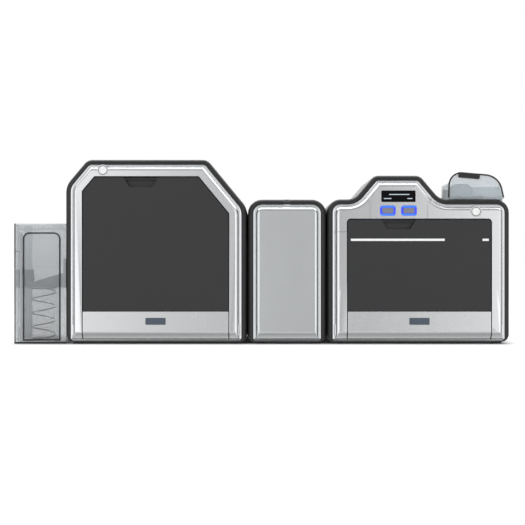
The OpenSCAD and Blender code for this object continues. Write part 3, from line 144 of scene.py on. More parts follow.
def ring(bm, corners, y, steps=8):
    """A closed ring of edges at depth y, with each corner spun about its own centre."""
    others, ends = set(bm.edges), []
    for i, (_, _, radius) in enumerate(corners):
        here, n1, n2 = corner(corners, i)
        turn = atan2(n1.x * n2.y - n1.y * n2.x, n1.dot(n2))
        side = 1 if turn > 0 else -1
        middle = here + side * radius * (n1 + n2) / (1 + n1.dot(n2))
        first = middle - side * radius * n1
        vert = bm.verts.new((first.x, y, first.y))
        spun = bmesh.ops.spin(bm, geom=[vert], cent=(middle.x, y, middle.y), axis=(0, -1, 0), dvec=(0, 0, 0),
                              angle=turn, steps=steps, use_duplicate=False)
        ends.append((vert, verts_in(spun["geom_last"])[0]))
    for (_, last), (first, _) in zip(ends, ends[1:] + ends[:1]):
        bm.edges.new((last, first))
    return [e for e in bm.edges if e not in others]


def bridge(bm, a, b):
    """A band of faces between two rings."""
    bmesh.ops.bridge_loops(bm, edges=a + b)


def loft(bm, rings):
    """A skin over a row of rings."""
    for a, b in zip(rings, rings[1:]):
        bridge(bm, a, b)


def fill(bm, *loops):
    """A flat face inside the first loop and round the others."""
    edges = [e for loop in loops for e in loop]
    if len(loops) == 1:
        bmesh.ops.edgeloop_fill(bm, edges=edges)
    else:
        bmesh.ops.triangle_fill(bm, edges=edges, use_beauty=True)


def plate(bm, corners, y0, y1, steps=8):
    """A flat plate from y0 back to y1."""
    front, back = ring(bm, corners, y0, steps), ring(bm, corners, y1, steps)
    bridge(bm, front, back)
    fill(bm, front)
    fill(bm, back)


def frame_plate(bm, outer, inner, y0, y1, steps=8):
    """A flat plate with one opening."""
    rings = [ring(bm, c, y, steps) for y in (y0, y1) for c in (outer, inner)]
    bridge(bm, rings[0], rings[2])
    bridge(bm, rings[1], rings[3])
    fill(bm, rings[0], rings[1])
    fill(bm, rings[2], rings[3])


def rounded(x, z, w, h, r):
    """The outline of a rectangle with round corners about the point (x, z)."""
    left, right, low, high = x - w / 2, x + w / 2, z - h / 2, z + h / 2
    return [(left, low, r), (right, low, r), (right, high, r), (left, high, r)]


def block(bm, low, high):
    """A box between two opposite corners."""
    low, high = Vector(low), Vector(high)
    at = Matrix.Translation((low + high) / 2) @ Matrix.Diagonal((*(high - low), 1))
    bmesh.ops.create_cube(bm, size=1, matrix=at)


def rod(bm, start, end, r, sides=32):
    """A round bar between two points."""
    start, end = Vector(start), Vector(end)
    along = end - start
    at = Matrix.Translation((start + end) / 2) @ along.to_track_quat("Z", "Y").to_matrix().to_4x4()
    bmesh.ops.create_cone(bm, cap_ends=True, segments=sides, radius1=r, radius2=r, depth=along.length,
                          matrix=at)


def swing(bm, vert, about, angle, steps):
    """Draw an arc from a vertex about an axis along X; gives the arc's last vertex."""
    spun = bmesh.ops.spin(bm, geom=[vert], cent=about, axis=(1, 0, 0), dvec=(0, 0, 0), angle=angle,
                          steps=steps, use_duplicate=False)
    return verts_in(spun["geom_last"])[0]


def draw_out(bm, length):
    """Make a flat side into a solid that is drawn out along X."""
    grown = bmesh.ops.extrude_face_region(bm, geom=bm.faces[:], use_keep_orig=True)["geom"]
    bmesh.ops.translate(bm, vec=(length, 0, 0), verts=verts_in(grown))
    outwards(bm)


def turned(bm, middle, profile, steps=40):
    """A body of revolution along Y: the profile's points are (radius, height towards the front)."""
    turn = Matrix.Rotation(pi / 2, 3, "X")
    verts = [bm.verts.new(Vector(middle) + turn @ Vector((r, 0, h))) for r, h in profile]
    edges = [bm.edges.new(pair) for pair in zip(verts, verts[1:])]
    bmesh.ops.spin(bm, geom=verts + edges, cent=middle, axis=turn @ Vector((0, 0, 1)), dvec=(0, 0, 0),
                   angle=2 * pi, steps=steps, use_merge=True)


def soften(bm, width, angle=35, steps=2, where=None):
    """Round the edges that turn by more than an angle."""
    edges = [e for e in bm.edges if len(e.link_faces) == 2 and e.calc_face_angle(0) > radians(angle)
             and (where is None or where((e.verts[0].co + e.verts[1].co) / 2))]
    bmesh.ops.bevel(bm, geom=edges, offset=width, offset_type="OFFSET", segments=steps, profile=0.5,
                    affect="EDGES", material=-1, clamp_overlap=True)


def ease(bm, width, y=None, steps=2):
    """Round the edges of a closed plate; given y, only those at that depth."""
    outwards(bm)
    soften(bm, width, 60, steps, None if y is None else lambda p: p.y < y + 0.01)


def boxes(*corners):
    """A new mesh of boxes, each between two opposite corners."""
    bm = bmesh.new()
    for low, high in corners:
        block(bm, low, high)
    return bm


def cut(bm, at, facing, faces=None, clear=False):
    """Cut faces along a plane; with clear, what the plane faces goes and the cut is closed."""
    faces = bm.faces[:] if faces is None else faces
    geom = list({v for f in faces for v in f.verts}) + list({e for f in faces for e in f.edges}) + list(faces)
    made = bmesh.ops.bisect_plane(bm, geom=geom, dist=1e-4, plane_co=at, plane_no=facing, clear_outer=clear)
    if clear:
        edges = [e for e in made["geom_cut"] if isinstance(e, bmesh.types.BMEdge)]
        bmesh.ops.holes_fill(bm, edges=edges, sides=0)


def centre(face):
    """The mean of a face's corners."""
    return face.calc_center_median()


def cut_round(bm, low, high, axes, faces):
    """Cut faces along the sides of a box on some axes; faces() gives them anew for each cut."""
    for k in axes:
        for edge in (low[k], high[k]):
            facing = Vector([1.0 if i == k else 0.0 for i in range(3)])
            cut(bm, facing * edge, facing, faces())


def window(bm, low, high, through):
    """Cut a rectangular window through a wall that is square to the axis named through."""
    t = "XYZ".index(through)

    def wall():
        return [f for f in bm.faces if all(low[t] <= v.co[t] <= high[t] for v in f.verts)]

    cut_round(bm, low, high, [k for k in range(3) if k != t], wall)
    inside = [f for f in wall() if all(low[k] < centre(f)[k] < high[k] for k in range(3))]
    bmesh.ops.delete(bm, geom=inside, context="FACES")
    rim = [e for e in bm.edges if e.is_boundary
           and all(low[k] - 0.01 <= v.co[k] <= high[k] + 0.01 for v in e.verts for k in range(3))]
    bmesh.ops.bridge_loops(bm, edges=rim)


def pocket(bm, low, high, face_y, depth):
    """Sink a rectangle, given by two opposite corners, into a front face."""
    def front():
        return [f for f in bm.faces if all(abs(v.co.y - face_y) < 1e-3 for v in f.verts)]

    cut_round(bm, low, high, (0, 2), front)
    inside = [f for f in front() if low[0] < centre(f).x < high[0] and low[2] < centre(f).z < high[2]]
    grown = bmesh.ops.extrude_face_region(bm, geom=inside)["geom"]
    bmesh.ops.translate(bm, vec=(0, depth, 0), verts=verts_in(grown))
    bmesh.ops.delete(bm, geom=[f for f in inside if f.is_valid], context="FACES_ONLY")


def joined(whole, part):
    """Add one mesh to another."""
    mesh = bpy.data.meshes.new("part")
    part.to_mesh(mesh)
    part.free()
    whole.from_mesh(mesh)
    bpy.data.meshes.remove(mesh)


# ---------- Shader groups shared by the finishes ----------
def put(node, socket, value):
    """Set an input, or link it if the value is another node's output."""
    if isinstance(value, bpy.types.NodeSocket):
        node.id_data.links.new(value, node.inputs[socket])
    else:
        node.inputs[socket].default_value = value


def add(tree, kind, inputs=(), **settings):
    """A new shader node with its inputs and settings."""
    node = tree.nodes.new("ShaderNode" + kind)
    for name, value in settings.items():
        setattr(node, name, value)
    for socket, value in dict(inputs).items():
        put(node, socket, value)
    return node


def maths(tree, operation, *values, clamp=False):
    """The result of one sum."""
    node = add(tree, "Math", operation=operation, use_clamp=clamp)
    for i, value in enumerate(values):
        put(node, i, value)
    return node.outputs[0]


def blend(tree, share, a, b, kind="MIX"):
    """A colour between a and b."""
    node = add(tree, "Mix", data_type="RGBA", blend_type=kind)
    put(node, 0, share)
    put(node, 6, a)
    put(node, 7, b)
    return node.outputs[2]


def ramped(tree, value, low, high, smooth=False):
    """A share that goes from 0 at low to 1 at high."""
    kind = "SMOOTHSTEP" if smooth else "LINEAR"
    return add(tree, "MapRange", {"Value": value, "From Min": low, "From Max": high},
               interpolation_type=kind).outputs[0]


def new_group(name, inputs, outputs):
    """An empty node group with named inputs and outputs."""
    tree = bpy.data.node_groups.new(name, "ShaderNodeTree")
    for label, kind, value in inputs:
        socket = tree.interface.new_socket(label, in_out="INPUT", socket_type="NodeSocket" + kind)
        socket.default_value = value
    for label, kind in outputs:
        tree.interface.new_socket(label, in_out="OUTPUT", socket_type="NodeSocket" + kind)
    return tree, tree.nodes.new("NodeGroupInput"), tree.nodes.new("NodeGroupOutput")


def height_of(tree):
    """The height of the shaded point, in metres."""
    return add(tree, "SeparateXYZ", {"Vector": add(tree, "TexCoord").outputs["Object"]}).outputs["Z"]


def object_place(tree, stretch=(1, 1, 1)):
    """The piece's own coordinates, stretched."""
    place = add(tree, "TexCoord").outputs["Object"]
    return add(tree, "Mapping", {"Vector": place, "Scale": stretch}).outputs[0]


def grain_group():
    """Fine moulded or sprayed grain: a height, and a tone that wanders a little over the surface."""
    tree, given, out = new_group("surface_grain", [("Size", "Float", 0.0006), ("Wander", "Float", 0.05)],
                                 [("Height", "Float"), ("Tone", "Float")])
    place = object_place(tree)
    fine = add(tree, "TexNoise", {"Vector": place, "Scale": maths(tree, "DIVIDE", 1.0, given.outputs["Size"]),
                                  "Detail": 2.0, "Roughness": 0.6})
    broad = add(tree, "TexNoise", {"Vector": place, "Scale": given.outputs["Wander"], "Detail": 3.0})
    put(out, "Height", fine.outputs[0])
    put(out, "Tone", maths(tree, "ADD", maths(tree, "MULTIPLY", broad.outputs[0], 0.6),
                           maths(tree, "MULTIPLY", fine.outputs[0], 0.4)))
    return tree


def streak_group():
    """Fine brushed lines along X."""
    tree, given, out = new_group("brushed_lines", [("Density", "Float", 2500.0)], [("Line", "Float")])
    place = object_place(tree, (0.012, 1, 1))
    lines = add(tree, "TexNoise", {"Vector": place, "Scale": given.outputs["Density"], "Detail": 3.0,
                                   "Roughness": 0.7})
    put(out, "Line", lines.outputs[0])
    return tree


def wear_group():
    """Edges that hands and cloths have polished: a mask that is 1 on sharp edges, broken up by noise."""
    tree, given, out = new_group("edge_wear", [("Width", "Float", 0.0008), ("Breakup", "Float", 90.0)],
                                 [("Mask", "Float")])
    soft = add(tree, "Bevel", {"Radius": given.outputs["Width"]}, samples=4)
    flat = add(tree, "NewGeometry").outputs["Normal"]
    facing = add(tree, "VectorMath", operation="DOT_PRODUCT")
    put(facing, 0, soft.outputs[0])
    put(facing, 1, flat)
    edge = ramped(tree, facing.outputs["Value"], 0.995, 0.90)
    place = object_place(tree)
    noise = add(tree, "TexNoise", {"Vector": place, "Scale": given.outputs["Breakup"], "Detail": 4.0})
    put(out, "Mask", maths(tree, "MULTIPLY", edge, ramped(tree, noise.outputs[0], 0.42, 0.62)))
    return tree


def dust_group():
    """Dust that has settled on what faces up, and faint smears anywhere."""
    tree, given, out = new_group("dust_and_smears", [("Amount", "Float", 0.3)],
                                 [("Dust", "Float"), ("Smear", "Float")])
    place = object_place(tree)
    up = add(tree, "SeparateXYZ", {"Vector": add(tree, "NewGeometry").outputs["Normal"]}).outputs["Z"]
    level = ramped(tree, up, 0.5, 1.0)
    specks = add(tree, "TexNoise", {"Vector": place, "Scale": 420.0, "Detail": 5.0, "Roughness": 0.7})
    spread = ramped(tree, specks.outputs[0], 0.4, 0.75)
    put(out, "Dust", maths(tree, "MULTIPLY", maths(tree, "MULTIPLY", level, spread), given.outputs["Amount"]))
    smear = add(tree, "TexNoise", {"Vector": object_place(tree, (1, 1, 0.35)), "Scale": 38.0, "Detail": 4.0,
                                   "Distortion": 0.6})
    put(out, "Smear", ramped(tree, smear.outputs[0], 0.45, 0.7))
    return tree


GRAIN, STREAK, WEAR, DUST = grain_group(), streak_group(), wear_group(), dust_group()


def grouped(tree, group, **inputs):
    """A shared group placed in a material with its own values."""
    node = tree.nodes.new("ShaderNodeGroup")
    node.node_tree = group
    for name, value in inputs.items():
        put(node, name, value)
    return node.outputs


def tint(colour, by):
    """A colour made lighter or darker."""
    return (*(min(max(c * by, 0), 1) for c in colour[:3]), 1)


def finish(name, colour, roughness, metallic=0.0, size=0.0006, bump=0.12, tone=0.06, wander=14.0, streak=0.0,
           wear=0.0, wear_colour=None, dust=0.0, smear=0.04, shader=(), glow=None):
    """One finish: its own colour with wandering tone, grain, worn edges, dust and smears."""
    made = bpy.data.materials.new(name)
    made.use_nodes = True
    tree = made.node_tree
    surface = tree.nodes["Principled BSDF"]
    colour = (*colour[:3], 1)
    grain = grouped(tree, GRAIN, Size=size, Wander=wander)
    paint = blend(tree, grain["Tone"], tint(colour, 1 - tone * 1.6), tint(colour, 1 + tone * 1.6))
    rough = maths(tree, "MULTIPLY_ADD", grain["Tone"], 2 * tone, roughness - tone)
    height = maths(tree, "MULTIPLY", grain["Height"], bump)
    if streak:
        line = grouped(tree, STREAK)["Line"]
        paint = blend(tree, maths(tree, "MULTIPLY", line, streak), paint, tint(colour, 0.55))
        rough = maths(tree, "MULTIPLY_ADD", line, 0.25 * streak, rough)
        height = maths(tree, "MULTIPLY_ADD", line, 0.3 * streak, height)
    if wear:
        mask = grouped(tree, WEAR)["Mask"]
        worn = (*(wear_colour or tint(colour, 2.5))[:3], 1)
        paint = blend(tree, maths(tree, "MULTIPLY", mask, wear), paint, worn)
        rough = maths(tree, "MULTIPLY_ADD", mask, -0.12 * wear, rough)
    if dust or smear:
        fall = grouped(tree, DUST, Amount=dust)
        paint = blend(tree, fall["Dust"], paint, (0.42, 0.41, 0.39, 1))
        rough = maths(tree, "ADD", rough, maths(tree, "MULTIPLY_ADD", fall["Smear"], smear,
                                                maths(tree, "MULTIPLY", fall["Dust"], 0.5)), clamp=True)
    put(surface, "Base Color", paint)
    put(surface, "Roughness", rough)
    put(surface, "Metallic", metallic)
    relief = add(tree, "Bump", {"Height": height, "Strength": 0.6, "Distance": 0.0002})
    put(surface, "Normal", relief.outputs[0])
    for socket, value in dict(shader).items():
        put(surface, socket, value)
    if glow:
        put(surface, "Emission Color", blend(tree, grain["Tone"], tint(glow, 0.8), tint(glow, 1.1)))
    if dict(shader).get("Alpha", 1) < 1:
        made.surface_render_method = "DITHERED"
    return made


SHELL = finish("shell_plastic", (0.016, 0.016, 0.0165), 0.44, size=0.0007, bump=0.35, wear=0.3,
               wear_colour=(0.07, 0.07, 0.07), dust=0.08, smear=0.05)
SILVER = finish("silver_paint", (0.86, 0.87, 0.885), 0.20, metallic=0.9, size=0.0003, bump=0.015, tone=0.01,
                smear=0.01)
# A darker, rougher copy of the silver paint for the flipper's front: painted shade for the dimmer reflection
# in the middle of the row.
SHADED_SILVER = finish("flipper_silver", (0.80, 0.82, 0.83), 0.22, metallic=0.9, size=0.0003, bump=0.02,
                      tone=0.012, smear=0.012)
BAND = finish("brushed_band", (0.84, 0.85, 0.86), 0.22, metallic=0.92, size=0.0004, bump=0.02, tone=0.01,
              streak=0.3, smear=0.02)
DOOR_DARK = finish("door_plastic", (0.030, 0.030, 0.031), 0.42, size=0.0005, bump=0.16, tone=0.04, wear=0.25,
                   wear_colour=(0.09, 0.09, 0.09), smear=0.06, shader={"Specular IOR Level": 0.35})
GLASS_BLACK = finish("display_glass", (0.003, 0.003, 0.004), 0.12, bump=0.0, smear=0.05,
                     shader={"Specular IOR Level": 0.12})
READOUT = finish("display_light", (0.3, 0.35, 0.4), 0.4, bump=0.0, glow=(0.7, 0.8, 0.85),
                 shader={"Emission Strength": 0.35})
LIGHT_RING = finish("lit_ring", (0.03, 0.06, 0.55), 0.4, bump=0.0, glow=(0.05, 0.09, 0.95),
                    shader={"Emission Strength": 0.75, "Specular IOR Level": 0.2})
BUTTON = finish("button_satin", (0.20, 0.20, 0.25), 0.38, bump=0.06, wear=0.4, smear=0.08)
BUTTON_WHITE = finish("button_white", (0.80, 0.80, 0.79), 0.22, bump=0.02, smear=0.06,
                      shader={"Coat Weight": 0.5})
PRINT_WHITE = finish("white_print", (0.86, 0.86, 0.85), 0.45, bump=0.02)
SLATE = finish("badge_slate", (0.095, 0.12, 0.15), 0.30, metallic=0.5, bump=0.05, wear=0.5,
               wear_colour=(0.35, 0.38, 0.40), smear=0.06)
STEEL = finish("ground_steel", (0.56, 0.56, 0.57), 0.28, metallic=1.0, size=0.0004, bump=0.05, streak=0.3,
               smear=0.1)
ZINC = finish("zinc_plate", (0.44, 0.45, 0.46), 0.38, metallic=0.9, size=0.0012, bump=0.10, tone=0.12,
              wander=60.0, wear=0.3, dust=0.15)
SPRING_STEEL = finish("spring_steel", (0.50, 0.51, 0.53), 0.25, metallic=0.95, size=0.0004, bump=0.06)
RUBBER = finish("roller_rubber", (0.022, 0.022, 0.023), 0.62, size=0.0004, bump=0.35, dust=0.2, smear=0.1)
HOT_RUBBER = finish("hot_roller", (0.11, 0.055, 0.04), 0.45, size=0.0004, bump=0.15, smear=0.1)
CARTRIDGE = finish("cartridge_plastic", (0.035, 0.036, 0.042), 0.38, size=0.0006, bump=0.25, wear=0.4)
FILM = finish("clear_film", (0.60, 0.64, 0.68), 0.12, bump=0.02, streak=0.2, shader={"Coat Weight": 0.7})
CLEAR_WEB = finish("film_web", (0.72, 0.76, 0.80), 0.10, bump=0.02, streak=0.2,
                   shader={"Alpha": 0.5, "Coat Weight": 0.7})
RIBBON = finish("dye_ribbon", (0.20, 0.03, 0.11), 0.20, bump=0.02, streak=0.25, shader={"Coat Weight": 0.5})
RIBBON_USED = finish("spent_ribbon", (0.03, 0.03, 0.035), 0.22, bump=0.02, streak=0.25,
                     shader={"Coat Weight": 0.5})
BOARD = finish("circuit_board", (0.012, 0.10, 0.035), 0.32, size=0.0015, bump=0.15, tone=0.2, wander=120.0,
               dust=0.25)
MOTOR = finish("motor_case", (0.030, 0.031, 0.034), 0.34, metallic=0.6, bump=0.2, wear=0.5, dust=0.15)
SMOKE = finish("smoked_plastic", (0.50, 0.53, 0.545), 0.16, bump=0.01, size=0.002, tone=0.02, smear=0.03,
               shader={"Alpha": 0.34, "Coat Weight": 0.4})
SMOKE_PANE = finish("smoked_door", (0.42, 0.45, 0.47), 0.14, bump=0.01, size=0.002, tone=0.02, smear=0.03,
                    shader={"Alpha": 0.34, "Coat Weight": 0.5})
DOME_SMOKE = finish("smoked_lid", (0.60, 0.66, 0.69), 0.12, bump=0.01, size=0.002, tone=0.02, smear=0.04,
                    shader={"Alpha": 0.30, "Coat Weight": 0.5})
CUP = finish("cup_plastic", (0.52, 0.56, 0.58), 0.42, size=0.0007, bump=0.2, smear=0.08)
WEIGHT = finish("weight_plastic", (0.30, 0.34, 0.35), 0.40, size=0.0007, bump=0.15, smear=0.08)
TRAY = finish("tray_plastic", (0.24, 0.24, 0.245), 0.45, size=0.0007, bump=0.25, wear=0.2, smear=0.08)
BLACK = finish("trim_black", (0.012, 0.012, 0.013), 0.32, size=0.0005, bump=0.2, wear=0.3,
               wear_colour=(0.06, 0.06, 0.06))
SCREW = finish("blackened_screw", (0.035, 0.035, 0.037), 0.32, metallic=0.8, bump=0.08, wear=0.8,
               wear_colour=(0.25, 0.25, 0.25))


def light_two_tones(made, ends, sides):
    """Light of one colour above and below a button and of another beside it."""
    tree = made.node_tree
    off_middle = maths(tree, "ABSOLUTE", maths(tree, "SUBTRACT", height_of(tree), OPTIONS[0][1] * MM))
    share = ramped(tree, off_middle, 4.5 * MM, 6.2 * MM)
    put(tree.nodes["Principled BSDF"], "Emission Color", blend(tree, share, sides, ends))


def darker_below(made, low, high, level):
    """Shade a finish down towards the bottom, as a tinted box darkens where less light gets in."""
    tree = made.node_tree
    surface = tree.nodes["Principled BSDF"]
    paint = surface.inputs["Base Color"].links[0].from_socket
    share = add(tree, "MapRange", {"Value": height_of(tree), "From Min": low * MM, "From Max": high * MM,
                                   "To Min": level}).outputs[0]
    shade = add(tree, "CombineColor", {0: share, 1: share, 2: share}).outputs[0]
    put(surface, "Base Color", blend(tree, 1.0, paint, shade, "MULTIPLY"))


light_two_tones(LIGHT_RING, (0.06, 0.28, 1.0, 1), (0.05, 0.06, 0.95, 1))
darker_below(SMOKE_PANE, 5, 170, 0.35)


# ---------- Pieces and bodies ----------
def piece(name, bm, body, made_of, replaces=(), smooth=30, wall=0.0):
    """Finish a mesh that was made in millimetres: its place stays in the mesh, and it rides on a body."""
    bmesh.ops.remove_doubles(bm, verts=bm.verts, dist=1e-4)
    outwards(bm)
    bmesh.ops.scale(bm, vec=(MM, MM, MM), verts=bm.verts)
    mesh = bpy.data.meshes.new(name)
    bm.to_mesh(mesh)
    bm.free()
    mesh.materials.append(made_of)
    mesh.shade_smooth()
    mesh.set_sharp_from_angle(angle=radians(smooth))
    made = bpy.data.objects.new(name, mesh)
    bpy.context.scene.collection.objects.link(made)
    if wall:
        solid = made.modifiers.new("wall", "SOLIDIFY")
        solid.thickness, solid.offset, solid.use_even_offset = wall * MM, -1, True
    shade = made.modifiers.new("flat_faces", "WEIGHTED_NORMAL")
    shade.keep_sharp, shade.weight = True, 60
    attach(made, body)
    if replaces:
        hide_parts(*replaces)
    return made


def dress(finish_by_node):
    """Give CAD nodes that keep their own shape a finish."""
    for name, made in finish_by_node.items():
        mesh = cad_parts[name].data
        mesh.materials.clear()
        mesh.materials.append(made)


# ---------- Housings ----------
def shell(corners):
    """A rolled-rim shell, open at the front and the back, as a closed wall."""
    turns = [radians(9 * k) for k in range(11)]
    roll = [(9 * (1 - cos(a)), 2.7 * (1 - cos(a)), RIM + 9 * (1 - sin(a))) for a in turns]
    stations = [(0, 0, SHELL_BACK)] + roll + [(9, 2.7, -97.7), (3, 2.7, -91.4), (3, 2.7, SHELL_BACK)]
    bm = bmesh.new()
    rings = [ring(bm, inset(corners, d, low), y) for d, low, y in stations]
    loft(bm, rings)
    fill(bm, rings[0], rings[-1])
    outwards(bm)
    return bm


def below_seam(bm):
    """The shell up to the seam between lower and top shell."""
    cut(bm, (0, 0, SEAM), (0, 0, 1), clear=True)
    soften(bm, 0.5, 60, where=lambda p: abs(p.z - SEAM) < 0.01)
    return bm


def above_seam(bm):
    """The shell from the seam up."""
    cut(bm, (0, 0, SEAM + SEAM_GAP), (0, 0, -1), clear=True)
    soften(bm, 0.5, 60, where=lambda p: abs(p.z - SEAM - SEAM_GAP) < 0.01)
    return bm


def card_slot(bm, x):
    """The slot that cards pass through from one machine to the next."""
    window(bm, (x - 3.5, CARD_Y - 31, CARD_Z - 4), (x + 3.5, CARD_Y + 31, CARD_Z + 6), "X")


def make_lower_shell(name, outline, *slots):
    """A machine's lower shell, with a card slot at each of the places given."""
    bm = below_seam(shell(outline))
    for x in slots:
        card_slot(bm, x)
    piece(name + "_lower_housing", bm, "housing", SHELL, [name + "_lower_shell"])


def make_shells():
    """The shells of the three machines; the printer's top is open under the input hopper."""
    make_lower_shell("laminator", LAMINATOR, LAM_X, LAM_RIGHT)
    top = above_seam(shell(LAMINATOR))
    piece("laminator_top_housing", top, "housing", SHELL, ["laminator_top_shell"])
    make_lower_shell("flipper", FLIPPER, FLIP_X, FLIP_RIGHT)
    make_lower_shell("printer", PRINTER, PRN_X)
    top = above_seam(shell(PRINTER))
    window(top, (DOME_X0 + 2.7, -90.3, 242), (DOME_X1 - 2.7, -13, 249), "Z")
    piece("printer_top_housing", top, "housing", SHELL, ["printer_top_shell"])
    make_flipper_top()


def make_flipper_top():
    """The flipper's top shell in one piece with the opening for its lid."""
    gap = 0.4
    left, right, behind = LID_X0 - gap, LID_X1 + gap, LID_HINGE_Y + 3.9
    parts = [
        [((left, 0, 0), (1, 0, 0))],
        [((right, 0, 0), (-1, 0, 0))],
        [((left, 0, 0), (-1, 0, 0)), ((right, 0, 0), (1, 0, 0)), ((0, behind, 0), (0, -1, 0))],
    ]
    whole = bmesh.new()
    for planes in parts:
        bm = above_seam(shell(FLIPPER))
        for at, facing in planes:
            cut(bm, at, facing, clear=True)
        joined(whole, bm)
    for x in (left - 6, right):
        block(whole, (x, LID_HINGE_Y - 4, 237.5), (x + 6, LID_HINGE_Y + 4, 245))
    piece("flipper_top_housing", whole, "housing", SHELL, ["flipper_top_shell"])


def make_flipper_lid():
    """The lid with its rolled front edge, finger dent and hinge barrel."""
    bm = bmesh.new()
    roll_y, roll_z = RIM + 9, FLIP_TOP - 9
    outer = bm.verts.new((LID_X0, RIM, roll_z))
    top = swing(bm, outer, (LID_X0, roll_y, roll_z), -pi / 2, 10)
    barrel_top = bm.verts.new((LID_X0, LID_HINGE_Y, FLIP_TOP))
    bm.edges.new((top, barrel_top))
    barrel_end = swing(bm, barrel_top, (LID_X0, LID_HINGE_Y, FLIP_TOP - 3.5), -pi * 1.32, 14)
    under = bm.verts.new((LID_X0, roll_y, FLIP_TOP - 3))
    bm.edges.new((barrel_end, under))
    bm.edges.new((swing(bm, under, (LID_X0, roll_y, roll_z), pi / 2, 10), outer))
    fill(bm, bm.edges[:])
    draw_out(bm, LID_X1 - LID_X0)
    soften(bm, 0.5, 60, where=lambda p: p.x < LID_X0 + 0.01 or p.x > LID_X1 - 0.01)
    for off in (-6.5, -4, 0, 4, 6.5):
        lid_top = [f for f in bm.faces if abs(centre(f).x - LID_DENT_X) < 41 and len(f.verts) == 4]
        cut(bm, (LID_DENT_X + off, 0, 0), (1, 0, 0), lid_top)
    for v in bm.verts:
        reach = 1 - ((v.co.x - LID_DENT_X) / 6.6) ** 2
        if reach > 0 and v.co.y < roll_y - 1 and v.co.z > roll_z + 2:
            v.co += Vector((0, 0.8, -0.6)) * 2.2 * reach
    rests = bmesh.new()
    for x in (LID_X0 - 0.4, LID_X1 + 0.05):
        block(rests, (x, RIM + 1.5, 230), (x + 0.35, RIM + 14, 241.5))
        block(rests, (x, RIM + 10, 238), (x + 0.35, LID_HINGE_Y - 4, 245.2))
    piece("flipper_lid_rests", rests, "housing", BLACK)
    piece("flipper_lid_cover", bm, "flipper_lid_body", SHELL, ["flipper_lid"], smooth=40)


# ---------- Silver fronts ----------
# Rings of a front as (inset of the sides, inset of the bottom, y): its outer skin and the hollow behind
SKIN = [(9.3, 3.0, BEZEL_BACK), (9.3, 3.0, -105.0), (9.7, 3.05, -105.7), (11.3, 3.2, -106.1),
        (12.1, 3.3, -105.6), (12.7, 3.4, -106.4), (13.4, 3.5, -108.6), (15.0, 3.6, -112.6),
        (16.3, 3.7, -114.6), (17.4, 3.8, -115.9), (18.6, 3.9, -116.9), (19.8, 4.0, FRONT)]
HOLLOW = [(18.4, 4.25, FRONT + FACE), (18.2, 4.25, -109.0), (15.4, 4.2, -108.5), (15.2, 4.2, -104.0),
          (12.0, 4.1, -103.3), (12.0, 4.1, BEZEL_BACK)]
SKIN_CORNER_R = 3.5


def round_under(bm, inner):
    """Bring the lower edge of a front back onto the hinge's cylinder; the hollow side keeps its wall."""
    for z in (22.5, 20, 17.5, 15, 13, 11.4, 10, 9, 8.3):
        cut(bm, (0, 0, z), (0, 0, 1))
    for v in bm.verts:
        r = HINGE_R - FACE_UNDER * v[inner]
        drop = min(HINGE_Z - v.co.z, r)
        if drop > 0:
            v.co.y = max(v.co.y, HINGE_Y - sqrt(r * r - drop * drop))


def marked_ring(bm, outline, y, inner, side):
    """A ring whose vertices know their side: 0 on the skin, 1 on the hollow."""
    before = set(bm.verts)
    edges = ring(bm, outline, y)
    for v in set(bm.verts) - before:
        v[inner] = side
    return edges


def front_rings(bm, corners, stations, inner, side):
    """The rings of a front's skin or hollow; its upper corners stay a little round."""
    made = []
    for d, low, y in stations:
        moved = inset(corners, d, low)
        outline = moved[:2] + [(x, z, max(r, SKIN_CORNER_R)) for x, z, r in moved[2:]]
        made.append(marked_ring(bm, outline, y, inner, side))
    return made


def lam_door(gap, low=4.4):
    """The laminator door's outline, grown by a gap."""
    return [(x, z, 3 + gap) for x, z, _ in inset(LAMINATOR, LAM_DOOR_INSET - gap, low)]


def prn_door(gap, low=7.4):
    """The printer door's outline, grown by a gap."""
    x0, x1 = PRN_X + PRN_DOOR_INSET - gap, PRN_RIGHT - PRN_DOOR_INSET + gap
    return [(x0, low, 3), (x1, low, 3), (x1, PRN_DOOR_TOP + gap, 6 + gap), (x0, PRN_DOOR_TOP + gap, 6 + gap)]


def opening(bm, inner, outline, flare=0.45):
    """The lit edge and the wall of an opening in a front: rings at the face, just inside it and behind it."""
    stations = ((flare, FRONT, 0), (0.0, FRONT + flare, 0), (0.0, FRONT + FACE, 1))
    rings = [marked_ring(bm, outline(grow), y, inner, side) for grow, y, side in stations]
    loft(bm, rings)
    return rings[0], rings[-1]


def front(corners, holes):
    """A front with its moulded rim, its openings and the hollow behind it."""
    bm = bmesh.new()
    inner = bm.verts.layers.float.new("inner")
    skin = front_rings(bm, corners, SKIN, inner, 0)
    hollow = front_rings(bm, corners, HOLLOW, inner, 1)
    loft(bm, skin)
    loft(bm, hollow)
    fill(bm, hollow[-1], skin[0])
    walls = [opening(bm, inner, hole) for hole in holes]
    fill(bm, skin[-1], *[w[0] for w in walls])
    fill(bm, hollow[0], *[w[1] for w in walls])
    outwards(bm)
    round_under(bm, inner)
    return bm


def drill(bm, at, r, sides=32):
    """Cut a round hole through the front, across its flat and its slopes."""
    x, z = at

    def reaches(v):
        return abs(v.co.x - x) < 3 * r and abs(v.co.z - z) < 3 * r

    def near():
        return [f for f in bm.faces if centre(f).y < -105 and any(reaches(v) for v in f.verts)]

    for k in range(sides):
        out = Vector((cos(2 * pi * k / sides), 0, sin(2 * pi * k / sides)))
        cut(bm, Vector((x, 0, z)) + out * r, out, near())
    inside = [f for f in near() if (centre(f) - Vector((x, centre(f).y, z))).length < r]
    bmesh.ops.delete(bm, geom=inside, context="FACES")


def power_boss(at):
    """The ring that stands round a power button, level with the front."""
    bm = bmesh.new()
    turned(bm, (at[0], FRONT, at[1]), [
        (BORE_R, -6), (BORE_R, -0.45), (BORE_R + 0.3, -0.1), (BOSS_R - 0.2, -0.1), (BOSS_R + 0.05, -0.3),
        (BOSS_R + 0.05, -6), (BORE_R, -6)], 64)
    return bm


